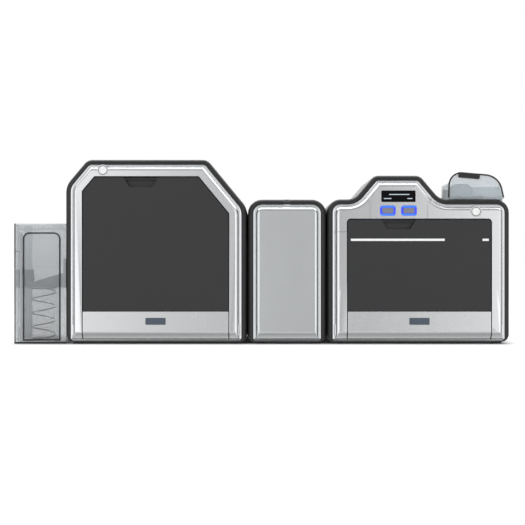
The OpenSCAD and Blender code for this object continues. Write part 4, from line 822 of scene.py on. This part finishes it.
def hinge_blocks(bm, left, right, door):
    """The blocks left and right of a door that carry its hinge pins."""
    for x0, x1 in ((left + 11, left + door - DOOR_GAP), (right - door + DOOR_GAP, right - 11)):
        block(bm, (x0, HINGE_Y - 7, HINGE_Z - 9), (x1, BEZEL_BACK, HINGE_Z + 9))


def seam_distance(p):
    """How far inside the control panel a point of the printer's front lies."""
    u = abs(p.x - PANEL_X)
    inside = max(PANEL_HALF - u, ((p.z - PANEL_SEAM) - (u - PANEL_HALF)) / sqrt(2))
    return inside if p.z > PRN_DOOR_TOP - 3 else -1


def cut_column_seam(bm):
    """The joint across the printer front's left column."""
    cut(bm, (COLUMN_END, 0, 0), (1, 0, 0))
    for g in (-COLUMN_GAP, COLUMN_GAP):
        cut(bm, (0, 0, COLUMN_SEAM + g), (0, 0, 1), [f for f in bm.faces if centre(f).x < COLUMN_END])
    gone = [f for f in bm.faces if abs(centre(f).z - COLUMN_SEAM) < COLUMN_GAP * 0.96
            and centre(f).x < COLUMN_END]
    bmesh.ops.delete(bm, geom=gone, context="FACES")
    lips = [e for e in bm.edges
            if e.is_boundary and all(abs(v.co.z - COLUMN_SEAM) < COLUMN_GAP * 1.07 for v in e.verts)]
    bmesh.ops.holes_fill(bm, edges=lips, sides=0)


def part_control_panel(bm):
    """Part the control panel from the printer's front, with a fine gap between them."""
    for s in (-1, 1):
        for g in (-PANEL_GAP, PANEL_GAP):
            cut(bm, (PANEL_X + s * (PANEL_HALF + g), 0, 0), (1, 0, 0))
            cut(bm, (PANEL_X + s * (PANEL_HALF + g * sqrt(2)), 0, PANEL_SEAM), (s, 0, -1))
    cut_column_seam(bm)
    panel = bm.copy()
    for mesh, keep in ((bm, lambda d: d < -PANEL_GAP * 0.99), (panel, lambda d: d > PANEL_GAP * 0.99)):
        gone = [f for f in mesh.faces if not keep(seam_distance(centre(f)))]
        bmesh.ops.delete(mesh, geom=gone, context="FACES")
        rim = [e for e in mesh.edges if e.is_boundary and abs(e.verts[0].co.x - PANEL_X) < PANEL_HALF + 60]
        bmesh.ops.holes_fill(mesh, edges=rim, sides=0)
    return panel


def make_fronts():
    """The silver fronts with their openings, power-button rings and hinge blocks."""
    bm = front(LAMINATOR, [lambda grow: lam_door(DOOR_GAP + grow)])
    drill(bm, LAM_POWER, BOSS_R)
    joined(bm, power_boss(LAM_POWER))
    hinge_blocks(bm, LAM_X, LAM_RIGHT, LAM_DOOR_INSET)
    piece("laminator_silver_front", bm, "housing", SILVER, ["laminator_bezel"], smooth=25)

    # The flipper's front takes the darker copy of the silver paint, which is painted shade.
    piece("flipper_silver_front", front(FLIPPER, []), "housing", SHADED_SILVER, ["flipper_front_panel"],
          smooth=25)

    def place_for(at, w, h, r):
        return lambda grow: rounded(*at, w + FIT + 2 * grow, h + FIT + 2 * grow, r + grow)

    holes = [lambda grow: prn_door(DOOR_GAP + grow), place_for(DISPLAY, DISPLAY_W, DISPLAY_H, 1.5)]
    holes += [place_for(at, OPTION_W, OPTION_H, 4) for at in OPTIONS]
    bm = front(PRINTER, holes)
    drill(bm, PRN_POWER, BOSS_R)
    joined(bm, power_boss(PRN_POWER))
    panel = part_control_panel(bm)
    hinge_blocks(bm, PRN_X, PRN_RIGHT, PRN_DOOR_INSET)
    piece("printer_silver_front", bm, "housing", SILVER, ["printer_bezel"], smooth=25)
    piece("control_panel_front", panel, "housing", SILVER, ["control_panel"], smooth=25)


# ---------- Doors ----------
def door_panel(corners, notch):
    """A dark door panel with the finger notch set into its top edge."""
    nx, nz = notch[0], notch[1] - DRAWN_IN
    floor_z = nz - NOTCH_DEEP
    panel = [(x, max(z, BAND_TOP + 0.4), r if z > BAND_TOP else 0.4) for x, z, r in inset(corners, DRAWN_IN)]
    right = max(i for i, (x, z, _) in enumerate(panel) if abs(z - nz) < 0.1 and x > nx)
    left_top, right_top = (nx - NOTCH_TOP_HALF, nz, 0.6), (nx + NOTCH_TOP_HALF, nz, 0.6)
    left_floor, right_floor = (nx - NOTCH_FLOOR_HALF, floor_z, 2.2), (nx + NOTCH_FLOOR_HALF, floor_z, 2.2)
    panel[right + 1:right + 1] = [right_top, right_floor, left_floor, left_top]
    bm = bmesh.new()
    y = FRONT + 1.5
    plate(bm, panel, y, y + 4)
    ease(bm, 0.5, y)
    pan = bmesh.new()
    hole = [left_floor, right_floor, right_top, left_top]
    frame_plate(pan, inset(hole, -2), hole, y + 3.9, y + 7)
    plate(pan, inset(hole, -2), y + 6.9, y + 9)
    cut(pan, (0, 0, nz), (0, 0, 1), clear=True)
    joined(bm, pan)
    return bm


def door_band(x0, x1):
    """The brushed band: flat in front and rounded under on the hinge's axis, with its two hinge ears."""
    bm = bmesh.new()
    pin = (x0, HINGE_Y, HINGE_Z)
    low = bm.verts.new((x0, FRONT, HINGE_Z))
    bottom = swing(bm, low, pin, pi / 2, 14)
    inner_bottom = bm.verts.new((x0, HINGE_Y, HINGE_Z - HINGE_R + BAND_T))
    bm.edges.new((bottom, inner_bottom))
    inner_low = swing(bm, inner_bottom, pin, -pi / 2, 14)
    inner_top = bm.verts.new((x0, FRONT + BAND_T, BAND_TOP))
    top = bm.verts.new((x0, FRONT, BAND_TOP))
    for pair in ((inner_low, inner_top), (inner_top, top), (top, low)):
        bm.edges.new(pair)
    fill(bm, bm.edges[:])
    draw_out(bm, x1 - x0)
    soften(bm, 0.5, 50)
    mid = (x0 + x1) / 2
    half_w, half_h = (BADGE_W + 0.8) / 2, (BADGE_H + 0.8) / 2
    pocket(bm, (mid - half_w, 0, BADGE_Z - half_h), (mid + half_w, 0, BADGE_Z + half_h), FRONT, 0.6)
    for x in (x0 + 0.5, x1 - 5.5):
        rod(bm, (x, HINGE_Y, HINGE_Z), (x + 5, HINGE_Y, HINGE_Z), 7.5)
        block(bm, (x, FRONT + 2, HINGE_Z - 4), (x + 5, HINGE_Y, HINGE_Z + 4))
    return bm


def badge(x):
    """The bare plate in the band's pocket."""
    bm = bmesh.new()
    plate(bm, rounded(x, BADGE_Z, BADGE_W, BADGE_H, 1.2), FRONT + 0.05, FRONT + 0.6)
    ease(bm, 0.25, FRONT + 0.05)
    return bm


def make_doors():
    """Both drop-down doors: dark cover, seal, brushed band and badge plate; the printer's has a stripe."""
    piece("laminator_door_cover", door_panel(lam_door(0), LAM_NOTCH), "laminator_door", DOOR_DARK,
          ["laminator_door_panel"])
    piece("printer_door_cover", door_panel(prn_door(0), PRN_NOTCH), "printer_door", DOOR_DARK,
          ["printer_door_panel"])
    for name, corners in (("laminator", lam_door(-0.1)), ("printer", prn_door(-0.1))):
        bm = bmesh.new()
        upper = [(x, max(z, BAND_TOP - 2), r if z > BAND_TOP else 0.4) for x, z, r in corners]
        frame_plate(bm, upper, inset(upper, 5), FRONT + 5.4, FRONT + 6.6)
        for x in (upper[0][0], upper[1][0] - 4):
            block(bm, (x, FRONT + 3.6, HINGE_Z), (x + 4, FRONT + 6.6, BAND_TOP - 2))
        cut(bm, (0, 0, max(z for _, z, _ in upper) - 1.2), (0, 0, 1), clear=True)
        piece(name + "_door_seal", bm, name + "_door", BLACK)
    spans = {"laminator": (LAM_X + LAM_DOOR_INSET, LAM_RIGHT - LAM_DOOR_INSET),
             "printer": (PRN_X + PRN_DOOR_INSET, PRN_RIGHT - PRN_DOOR_INSET)}
    for name, (x0, x1) in spans.items():
        band = door_band(x0 + DRAWN_IN, x1 - DRAWN_IN)
        piece(name + "_brushed_band", band, name + "_door", BAND, [name + "_door_band"])
        piece(name + "_badge_plate", badge((x0 + x1) / 2), name + "_door", SLATE)
    y = FRONT + 1.42
    bm = boxes(*[((x0, y, STRIPE_Z - STRIPE_HALF), (x1, y + 0.3, STRIPE_Z + STRIPE_HALF))
                 for x0, x1 in STRIPE_SPANS])
    piece("printer_door_stripe", bm, "printer_door", PRINT_WHITE)


# ---------- Display and buttons ----------
def make_controls():
    """The display, the option buttons and both power buttons in their black collars."""
    make_display()
    make_option_buttons()
    for name, (x, z) in (("laminator", LAM_POWER), ("printer", PRN_POWER)):
        cap = bmesh.new()
        turned(cap, (x, FRONT, z), [
            (0, -9), (3, -9), (3, -5), (CAP_R, -5), (CAP_R, -0.8), (CAP_R - 0.2, -0.35), (6.1, -0.1),
            (5.2, 0.0), (4.4, -0.12), (0, -0.35)], 48)
        collar = bmesh.new()
        turned(collar, (x, FRONT, z), [
            (COLLAR_R, -6), (COLLAR_R, -1.2), (BORE_R, -1.2), (BORE_R, -6), (COLLAR_R, -6)], 48)
        piece(name + "_power_collar", collar, "housing", BLACK)
        piece(name + "_power_cap", cap, name + "_power_body", BUTTON_WHITE, [name + "_power_button"])


def make_display():
    """The display's window, with plain lit bars behind it."""
    bm = bmesh.new()
    plate(bm, rounded(*DISPLAY, DISPLAY_W, DISPLAY_H, 1.2), FRONT + 0.4, FRONT + 3.5)
    ease(bm, 0.3, FRONT + 0.4)
    piece("display_window", bm, "housing", GLASS_BLACK, ["display_lens"])
    bm = bmesh.new()
    x, z = DISPLAY
    for low, high, row in ((-16, 18.5, 3.0), (-25, -12, -3.9), (15, 23.5, -3.9)):
        plate(bm, rounded(x + (low + high) / 2, z + row, high - low, 1.5, 0.6), FRONT + 0.3, FRONT + 0.5)
    piece("display_bars", bm, "housing", READOUT)


def make_option_buttons():
    """Two lit rings, each round a satin cap on a short stem."""
    bm = bmesh.new()
    for at in OPTIONS:
        outer, inner = rounded(*at, OPTION_W, OPTION_H, 3.8), rounded(*at, OPTION_W - 6.4, OPTION_H - 6.4, 2)
        frame_plate(bm, outer, inner, FRONT + 0.3, FRONT + 3.5)
    ease(bm, 0.5, FRONT + 0.3)
    piece("button_rings", bm, "housing", LIGHT_RING, ["button_light_rings"])
    for name, (x, z) in zip(("left", "right"), OPTIONS):
        bm = bmesh.new()
        rows = ((0, FRONT + 5), (0, FRONT + 0.7), (0.3, FRONT + 0.3), (1.0, FRONT + 0.1))
        rings = [ring(bm, rounded(x, z, OPTION_W - 6.9 - 2 * d, OPTION_H - 6.9 - 2 * d, 1.8 - 0.5 * d), y)
                 for d, y in rows]
        loft(bm, rings)
        fill(bm, rings[0])
        fill(bm, rings[-1])
        rod(bm, (x, FRONT + 5, z), (x, FRONT + 9, z), 2.5)
        piece(name + "_option_cap", bm, name + "_button_body", BUTTON, [name + "_option_button"])


# ---------- Dark strips in the gaps between the machines, as painted shade ---
def make_gap_shade_strips():
    """Dark strips that close the gaps between the three machines, put there as painted shade."""
    bm = boxes(*[((x0 + 0.1, -85, 9), (x1 - 0.1, -78, 170))
                 for x0, x1 in ((LAM_RIGHT, FLIP_X), (FLIP_RIGHT, PRN_X))])
    # Painted shade: dark blocks where the gaps between the machines are only in shade.
    piece("gap_shade_strips", bm, "housing", RUBBER)


# ---------- Output hopper ----------
def make_output_hopper():
    """The hopper at the left end, on its dark foot."""
    bm = boxes(((HOP_X, HOP_Y0, 0), (LAM_X, HOP_Y1, HOP_FOOT)))
    soften(bm, 0.8)
    piece("output_hopper_foot", bm, "housing", BLACK, ["output_hopper_base"])
    make_hopper_walls()
    make_hopper_door()
    make_card_tray()
    make_spring()


def make_hopper_walls():
    """Clear walls round the tray, open towards the laminator, with a rail, dark edging and ribs."""
    bm = bmesh.new()
    outer = rounded((HOP_X + LAM_X) / 2, (HOP_FOOT + HOP_TOP) / 2, LAM_X - HOP_X, HOP_TOP - HOP_FOOT, 1.5)
    face, back = ring(bm, outer, HOP_Y0), ring(bm, outer, HOP_Y1)
    hole = ring(bm, inset(HOP_DOOR, -0.5), HOP_Y0)
    bridge(bm, face, back)
    fill(bm, face, hole)
    fill(bm, back)
    gone = [f for f in bm.faces if all(v.co.x > LAM_X - 1.6 for v in f.verts)]
    bmesh.ops.delete(bm, geom=gone, context="FACES")
    piece("output_hopper_walls", bm, "housing", SMOKE, ["output_hopper_body"], wall=2)

    bm = boxes(((HOP_X + 3, HOP_Y1 - 10, 5), (HOP_X + 16, HOP_Y1 - 2, HOP_TOP - 2)))
    soften(bm, 0.8)
    piece("output_hopper_rail", bm, "housing", SMOKE)

    bm = boxes(((HOP_X, HOP_Y0 - 0.1, HOP_FOOT), (HOP_X + 1.9, HOP_Y0 + 2, HOP_TOP)),
               ((HOP_X + 1.9, HOP_Y0 - 0.1, 157.4), (HOP_X + 12.5, HOP_Y0 + 0.3, 158.2)))
    piece("output_hopper_edging", bm, "housing", BLACK)
    bm = boxes(((HOP_X + 12, HOP_Y0 - 0.15, 194.4), (LAM_X - 1, HOP_Y0 + 2.5, 198.2)),
               ((HOP_X + 5.5, HOP_Y0 - 0.15, 5), (HOP_X + 7.5, HOP_Y0 + 2.5, HOP_TOP - 2)))
    soften(bm, 0.5)
    piece("output_hopper_ribs", bm, "housing", SMOKE)


def knuckles(spans, x0, x1):
    """Hinge knuckles on the hopper door's pin, each with the web that joins it to the wall or the door."""
    bm = bmesh.new()
    for z0, z1 in spans:
        rod(bm, (KNUCKLE_X, KNUCKLE_Y, z0), (KNUCKLE_X, KNUCKLE_Y, z1), KNUCKLE_R)
        block(bm, (x0, KNUCKLE_Y - 0.6, z0), (x1, HOP_Y0 + 1, z1))
    return bm


def make_hopper_door():
    """The smoked door in its dark rim, hung on a row of knuckles."""
    fixed = knuckles(((7.7, 28.9), (123.1, 155.3), (170.2, 187.8)), HOP_X + 7, KNUCKLE_X)
    piece("output_hinge_knuckles", fixed, "housing", SMOKE)
    moving = knuckles(((29.3, 122.7), (155.7, 169.8)), KNUCKLE_X, HOP_DOOR[0][0] + 0.5)
    piece("output_door_knuckles", moving, "output_door_body", SMOKE)
    bm = bmesh.new()
    frame_plate(bm, HOP_DOOR, inset(HOP_DOOR, 2.4), HOP_Y0 - 0.6, HOP_Y0 + 2)
    ease(bm, 0.5)
    piece("output_door_rim", bm, "output_door_body", BLACK, ["output_door_frame"])
    bm = bmesh.new()
    plate(bm, inset(HOP_DOOR, 2.1), HOP_Y0, HOP_Y0 + 2)
    piece("output_door_pane", bm, "output_door_body", SMOKE_PANE, ["output_hopper_door"])


def make_card_tray():
    """The sprung tray: a raised block at the left, a slope for the cards and a tall guide at the right."""
    bm = bmesh.new()
    x0, x1 = HOP_X + 2.5, LAM_X - 0.5
    outline = [(x0, TRAY_Z, 0.6), (x1, TRAY_Z, 0.6), (x1, TRAY_Z + 50, 0.8), (x1 - 4.5, TRAY_Z + 50, 0.8),
               (x1 - 4.5, TRAY_Z + 25.5, 1.5), (x0 + 19, TRAY_Z + 7.5, 2), (x0 + 17.5, TRAY_Z + 31.5, 1.5),
               (x0, TRAY_Z + 31.5, 1.5)]
    plate(bm, outline, TRAY_Y0, TRAY_Y1, 4)
    ease(bm, 0.6)
    piece("output_tray_block", bm, "output_tray_body", TRAY, ["output_tray"])


def make_spring():
    """The tray's compression spring: closed end turns and open middle turns, wound from a spun wire."""
    bm = bmesh.new()
    at = Matrix.Translation((SPRING_X + SPRING_R, SPRING_Y, SPRING_Z0 + WIRE_R + SPRING_SEAT))
    wire = bmesh.ops.create_circle(bm, cap_ends=False, segments=12, radius=WIRE_R,
                                   matrix=at @ Matrix.Rotation(pi / 2, 4, "X"))["verts"]
    start = list({e for v in wire for e in v.link_edges})
    bm.faces.new(wire)
    geom = wire + start
    rise = SPRING_Z1 - SPRING_Z0 - 2 * WIRE_R - 2 * SPRING_SEAT
    for turns, share in ((0.75, 0.02), (SPRING_TURNS - 1.5, 0.96), (0.75, 0.02)):
        steps = int(turns * 40)
        geom = bmesh.ops.spin(bm, geom=geom, cent=(SPRING_X, SPRING_Y, 0), axis=(0, 0, 1),
                              dvec=(0, 0, rise * share / steps), angle=2 * pi * turns, steps=steps,
                              use_duplicate=False)["geom_last"]
    bm.faces.new(verts_in(geom))
    spring = piece("output_spring_coil", bm, "housing", SPRING_STEEL, ["output_spring"], smooth=60)
    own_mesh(spring)


# ---------- Input hopper ----------
def make_input_hopper():
    """The smoked dome over the cards, open below and cut away round its hinge pin."""
    bm = bmesh.new()
    rows = [(3.0, DOME_Y0), (1.4, DOME_Y0 + 0.35), (0.4, DOME_Y0 + 1.3), (0.0, DOME_Y0 + 3),
            (0.0, DOME_Y1 - 3), (0.4, DOME_Y1 - 1.3), (1.4, DOME_Y1 - 0.35), (3.0, DOME_Y1)]
    rings = [ring(bm, inset(DOME, d, 0), y, 12) for d, y in rows]
    loft(bm, rings)
    fill(bm, rings[0])
    fill(bm, rings[-1])
    floor = [f for f in bm.faces if centre(f).z < DOME_Z0 + 0.2 and abs(f.normal.z) > 0.8]
    bmesh.ops.delete(bm, geom=floor, context="FACES")
    pin_top = DOME_PIN_Z + DOME_PIN_CLEAR
    cut(bm, (0, 0, pin_top), (0, 0, 1), [f for f in bm.faces if centre(f).y > DOME_PIN_Y])
    cut(bm, (0, DOME_PIN_Y, 0), (0, 1, 0))
    round_pin = [f for f in bm.faces if centre(f).y > DOME_PIN_Y and centre(f).z < pin_top]
    bmesh.ops.delete(bm, geom=round_pin, context="FACES")
    piece("input_hopper_dome", bm, "input_lid_body", DOME_SMOKE, ["input_hopper_lid"], smooth=40,
          wall=2)

    bm = bmesh.new()
    frame_plate(bm, DOME, inset(DOME, DOME_TRIM), DOME_Y0 - 0.3, DOME_Y0 + 1.6, 12)
    cut(bm, (0, 0, DOME_Z0 + DOME_TRIM), (0, 0, -1), clear=True)
    outwards(bm)
    piece("input_dome_edge", bm, "input_lid_body", BLACK)
    make_card_weight()
    make_dome_grip()


def make_card_weight():
    """The flap that presses on the cards, with its pivot, its stop and a wire hook."""
    bm = bmesh.new()
    plate(bm, rounded(DOME_X0 + 22.5, 260.5, 40, 25, 12), WEIGHT_Y - 0.2, WEIGHT_Y + 1)
    ease(bm, 0.4)
    piece("input_card_weight", bm, "input_lid_body", WEIGHT)
    bm = bmesh.new()
    pivot = (DOME_X0 + 6.4, WEIGHT_Y - 0.3, 262.3)
    turned(bm, pivot, [(0, -2), (2.6, -2), (2.6, 0), (1.3, 0.2), (1.3, -0.4), (0, -0.4)])
    block(bm, (DOME_X0 + 42, WEIGHT_Y, 249.2), (DOME_X0 + 61, WEIGHT_Y + 2, 253))
    piece("input_weight_pivot", bm, "input_lid_body", TRAY)
    bm = bmesh.new()
    bends = [(DOME_X0 + x, WEIGHT_Y + 0.1, z) for x, z in ((12, 252.4), (18, 251.6), (26, 248.6))]
    for start, end in zip(bends, bends[1:]):
        rod(bm, start, end, 0.7, 12)
    piece("input_weight_hook", bm, "input_lid_body", BLACK)


def make_dome_grip():
    """The ribbed grip on the dome's sloping top edge."""
    bm = bmesh.new()
    plate(bm, rounded(0, 0, 37, 9.5, 2), -2.5, 0)
    ease(bm, 0.9, steps=3)
    for k in range(-2, 3):
        block(bm, (k * 6 - 0.6, -2.9, -3), (k * 6 + 0.6, -2.3, 3))
    slope = atan2(DOME[2][1] - DOME[3][1], DOME[2][0] - DOME[3][0])
    bmesh.ops.rotate(bm, verts=bm.verts, cent=(0, 0, 0), matrix=Matrix.Rotation(-slope, 3, "Y"))
    bmesh.ops.translate(bm, vec=(DOME_X0 + 36, DOME_Y0, DOME_Z1 - 8), verts=bm.verts)
    piece("input_dome_grip", bm, "input_lid_body", BLACK, ["input_hopper_grip"])


# ---------- Laminate film ----------
def make_film_webs():
    """The laminate film from each supply, past its roller and on to the take-up."""
    for name, middle, side in (("upper", 185.1, 1), ("lower", 184.9, -1)):
        path = [(SUPPLY_X + SUPPLY_ROLL_R * 0.8, middle + side * (SPOOL_RISE - SUPPLY_ROLL_R * 0.6)),
                (NIP_X - 4, middle + side * 0.35), (NIP_X + 4, middle + side * 0.35),
                (TAKEUP_X - TAKEUP_ROLL_R * 0.8, middle + side * (SPOOL_RISE - TAKEUP_ROLL_R * 0.6))]
        bm = bmesh.new()
        for a, b in zip(path, path[1:]):
            along = Vector((b[0] - a[0], 0, b[1] - a[1]))
            at = Matrix.Translation(((a[0] + b[0]) / 2, -54, (a[1] + b[1]) / 2))
            turn = Matrix.Rotation(-atan2(along.z, along.x), 4, "Y")
            size = Matrix.Diagonal((along.length, 62, 0.2, 1))
            bmesh.ops.create_cube(bm, size=1, matrix=at @ turn @ size)
        piece(name + "_film_web", bm, "housing", CLEAR_WEB)


# ---------- Pieces that keep their CAD shape ----------
dress({
    "rear_covers": SHELL, "screws": SCREW, "sockets": BLACK, "pins": STEEL, "rubber_feet": RUBBER,
    "laminator_chassis": ZINC, "flipper_chassis": ZINC, "printer_chassis": ZINC,
    "heat_roller": HOT_RUBBER, "transfer_roller": HOT_RUBBER, "pressure_roller": RUBBER,
    "counter_roller": RUBBER, "card_feed_roller": RUBBER, "platen_roller": RUBBER, "flipper_roller": RUBBER,
    "flipper_table": CARTRIDGE, "laminate_cartridges": CARTRIDGE, "printer_cartridges": CARTRIDGE,
    "upper_laminate_supply": FILM, "upper_laminate_takeup": FILM, "lower_laminate_supply": FILM,
    "lower_laminate_takeup": FILM, "ribbon_supply_spool": RIBBON, "ribbon_takeup_spool": RIBBON_USED,
    "film_supply_spool": FILM, "film_takeup_spool": FILM, "printhead": ZINC, "control_boards": BOARD,
    "drive_motors": MOTOR, "power_supply": ZINC, "input_hopper_cup": CUP,
})


# ---------- Studio ----------
def add_camera():
    """The camera looks straight at the row of machines."""
    lens = bpy.data.cameras.new("camera")
    lens.lens, lens.sensor_width = 81.1, 36
    camera = bpy.data.objects.new("camera", lens)
    camera.location, camera.rotation_euler = (0.0012, -2.1175, 0.1385), (pi / 2, 0, 0)
    bpy.context.scene.collection.objects.link(camera)
    bpy.context.scene.camera = camera


def add_lamp(name, place, target, size, power):
    """A square soft box, not mirrored in what is polished."""
    lamp = bpy.data.lights.new(name, "AREA")
    lamp.shape, lamp.size, lamp.size_y, lamp.energy = "RECTANGLE", size, size, power
    made = bpy.data.objects.new(name, lamp)
    made.location = place
    made.rotation_euler = (Vector(target) - Vector(place)).to_track_quat("-Z", "Y").to_euler()
    made.visible_glossy = False
    made.visible_camera = False
    bpy.context.scene.collection.objects.link(made)


def levels(tree, angle, stops):
    """A grey level for an angle in radians, from stops given in degrees."""
    ramp = add(tree, "ValToRGB", {"Fac": ramped(tree, angle, -pi, pi)})
    while len(ramp.color_ramp.elements) < len(stops):
        ramp.color_ramp.elements.new(0.5)
    for element, (degrees, level) in zip(ramp.color_ramp.elements, stops):
        element.position = (degrees / 180 + 1) / 2
        element.color = (level, level, level, 1)
    return ramp.outputs[0]


def add_world():
    """White behind the object; polished parts mirror white soft boxes left and right, dimmer in between."""
    world = bpy.data.worlds.new("studio")
    bpy.context.scene.world = world
    world.use_nodes = True
    tree = world.node_tree
    tree.nodes.clear()
    way = add(tree, "SeparateXYZ", {"Vector": add(tree, "TexCoord").outputs["Generated"]}).outputs
    ahead = maths(tree, "MULTIPLY", way["Y"], -1.0)
    across = levels(tree, maths(tree, "ARCTAN2", way["X"], ahead), [
        (-40, 1.2), (-12, 1.2), (-9, 1.0), (-5, 0.62), (-1, 0.40), (3, 0.26), (5, 0.30), (8, 0.58),
        (12, 0.98), (16, 1.2), (40, 1.2)])
    off_front = maths(tree, "ARCCOSINE", ahead)
    beside = levels(tree, off_front, [(30, 1.15), (72, 1.15), (90, 0.5), (108, 0.28), (180, 0.4)])
    above = levels(tree, off_front, [(20, 0.8), (28, 0.5), (46, 0.36), (84, 0.26), (98, 0.9), (120, 3.0),
                                     (150, 3.0), (180, 2.0)])
    below = levels(tree, off_front, [(10, 0.9), (22, 1.1), (34, 0.5), (52, 0.32), (84, 0.45), (120, 0.6),
                                     (180, 0.3)])
    tilt = maths(tree, "DIVIDE", way["Z"], maths(tree, "SINE", off_front))
    rising = ramped(tree, tilt, 0.45, 0.8, smooth=True)
    falling = ramped(tree, tilt, -0.45, -0.8, smooth=True)
    around = blend(tree, falling, blend(tree, rising, beside, above), below)
    mirrored = blend(tree, ramped(tree, off_front, radians(15), radians(34), smooth=True), across, around)
    light = add(tree, "LightPath").outputs
    plain = maths(tree, "MAXIMUM", light["Is Camera Ray"], light["Is Transmission Ray"])
    soft = blend(tree, light["Is Glossy Ray"], (0.62, 0.63, 0.65, 1), mirrored)
    seen = blend(tree, plain, soft, (1, 1, 1, 1))
    sky = add(tree, "Background", {"Color": seen, "Strength": 1.0})
    put(add(tree, "OutputWorld"), "Surface", sky.outputs[0])


def add_floor():
    """A pale floor that the camera sees white away from the object; close to it the white lift is left off,
    so it keeps the shadow and is painted darker round the object.
    """
    bm = bmesh.new()
    bmesh.ops.create_grid(bm, x_segments=1, y_segments=1, size=30)
    bmesh.ops.translate(bm, vec=(0, 0, -0.0003), verts=bm.verts)
    mesh = bpy.data.meshes.new("studio_floor")
    bm.to_mesh(mesh)
    bm.free()
    made = bpy.data.materials.new("studio_floor")
    made.use_nodes = True
    tree = made.node_tree
    surface = tree.nodes["Principled BSDF"]
    put(surface, "Base Color", (0.80, 0.80, 0.80, 1))
    put(surface, "Roughness", 0.9)
    put(surface, "Specular IOR Level", 0.1)
    light = add(tree, "LightPath").outputs
    place = add(tree, "SeparateXYZ", {"Vector": add(tree, "TexCoord").outputs["Object"]}).outputs
    # Within 40 mm of the object's footprint the camera's white lift fades out: painted shade round the
    # object, besides its real shadow.
    past_side = maths(tree, "SUBTRACT", maths(tree, "ABSOLUTE", place["X"]), 0.41)
    past_front = maths(tree, "SUBTRACT", maths(tree, "ABSOLUTE", place["Y"]), 0.11)
    clear = ramped(tree, maths(tree, "MAXIMUM", past_side, past_front), 0, 0.04, smooth=True)
    white = maths(tree, "MULTIPLY", light["Is Camera Ray"], clear)
    lift = blend(tree, white, (0, 0, 0, 1), (0.55, 0.55, 0.55, 1))
    put(surface, "Emission Color", lift)
    put(surface, "Emission Strength", 1.0)
    mesh.materials.append(made)
    floor = bpy.data.objects.new("studio_floor", mesh)
    bpy.context.scene.collection.objects.link(floor)
    floor.visible_glossy = False


add_camera()
make_shells()
make_flipper_lid()
make_fronts()
make_doors()
make_controls()
make_output_hopper()
make_input_hopper()
make_film_webs()
make_gap_shade_strips()
add_world()
add_lamp("key_left", (-2.2, -2.2, 1.9), (0, 0, 0.1), 1.6, 36)
add_lamp("key_right", (2.4, -2.0, 1.7), (0, 0, 0.1), 1.6, 30)
add_lamp("top", (0, 0.2, 2.4), (0, 0, 0), 2.4, 26)
add_floor()

bpy.context.scene.view_settings.view_transform = "Standard"
bpy.context.view_layer.update()
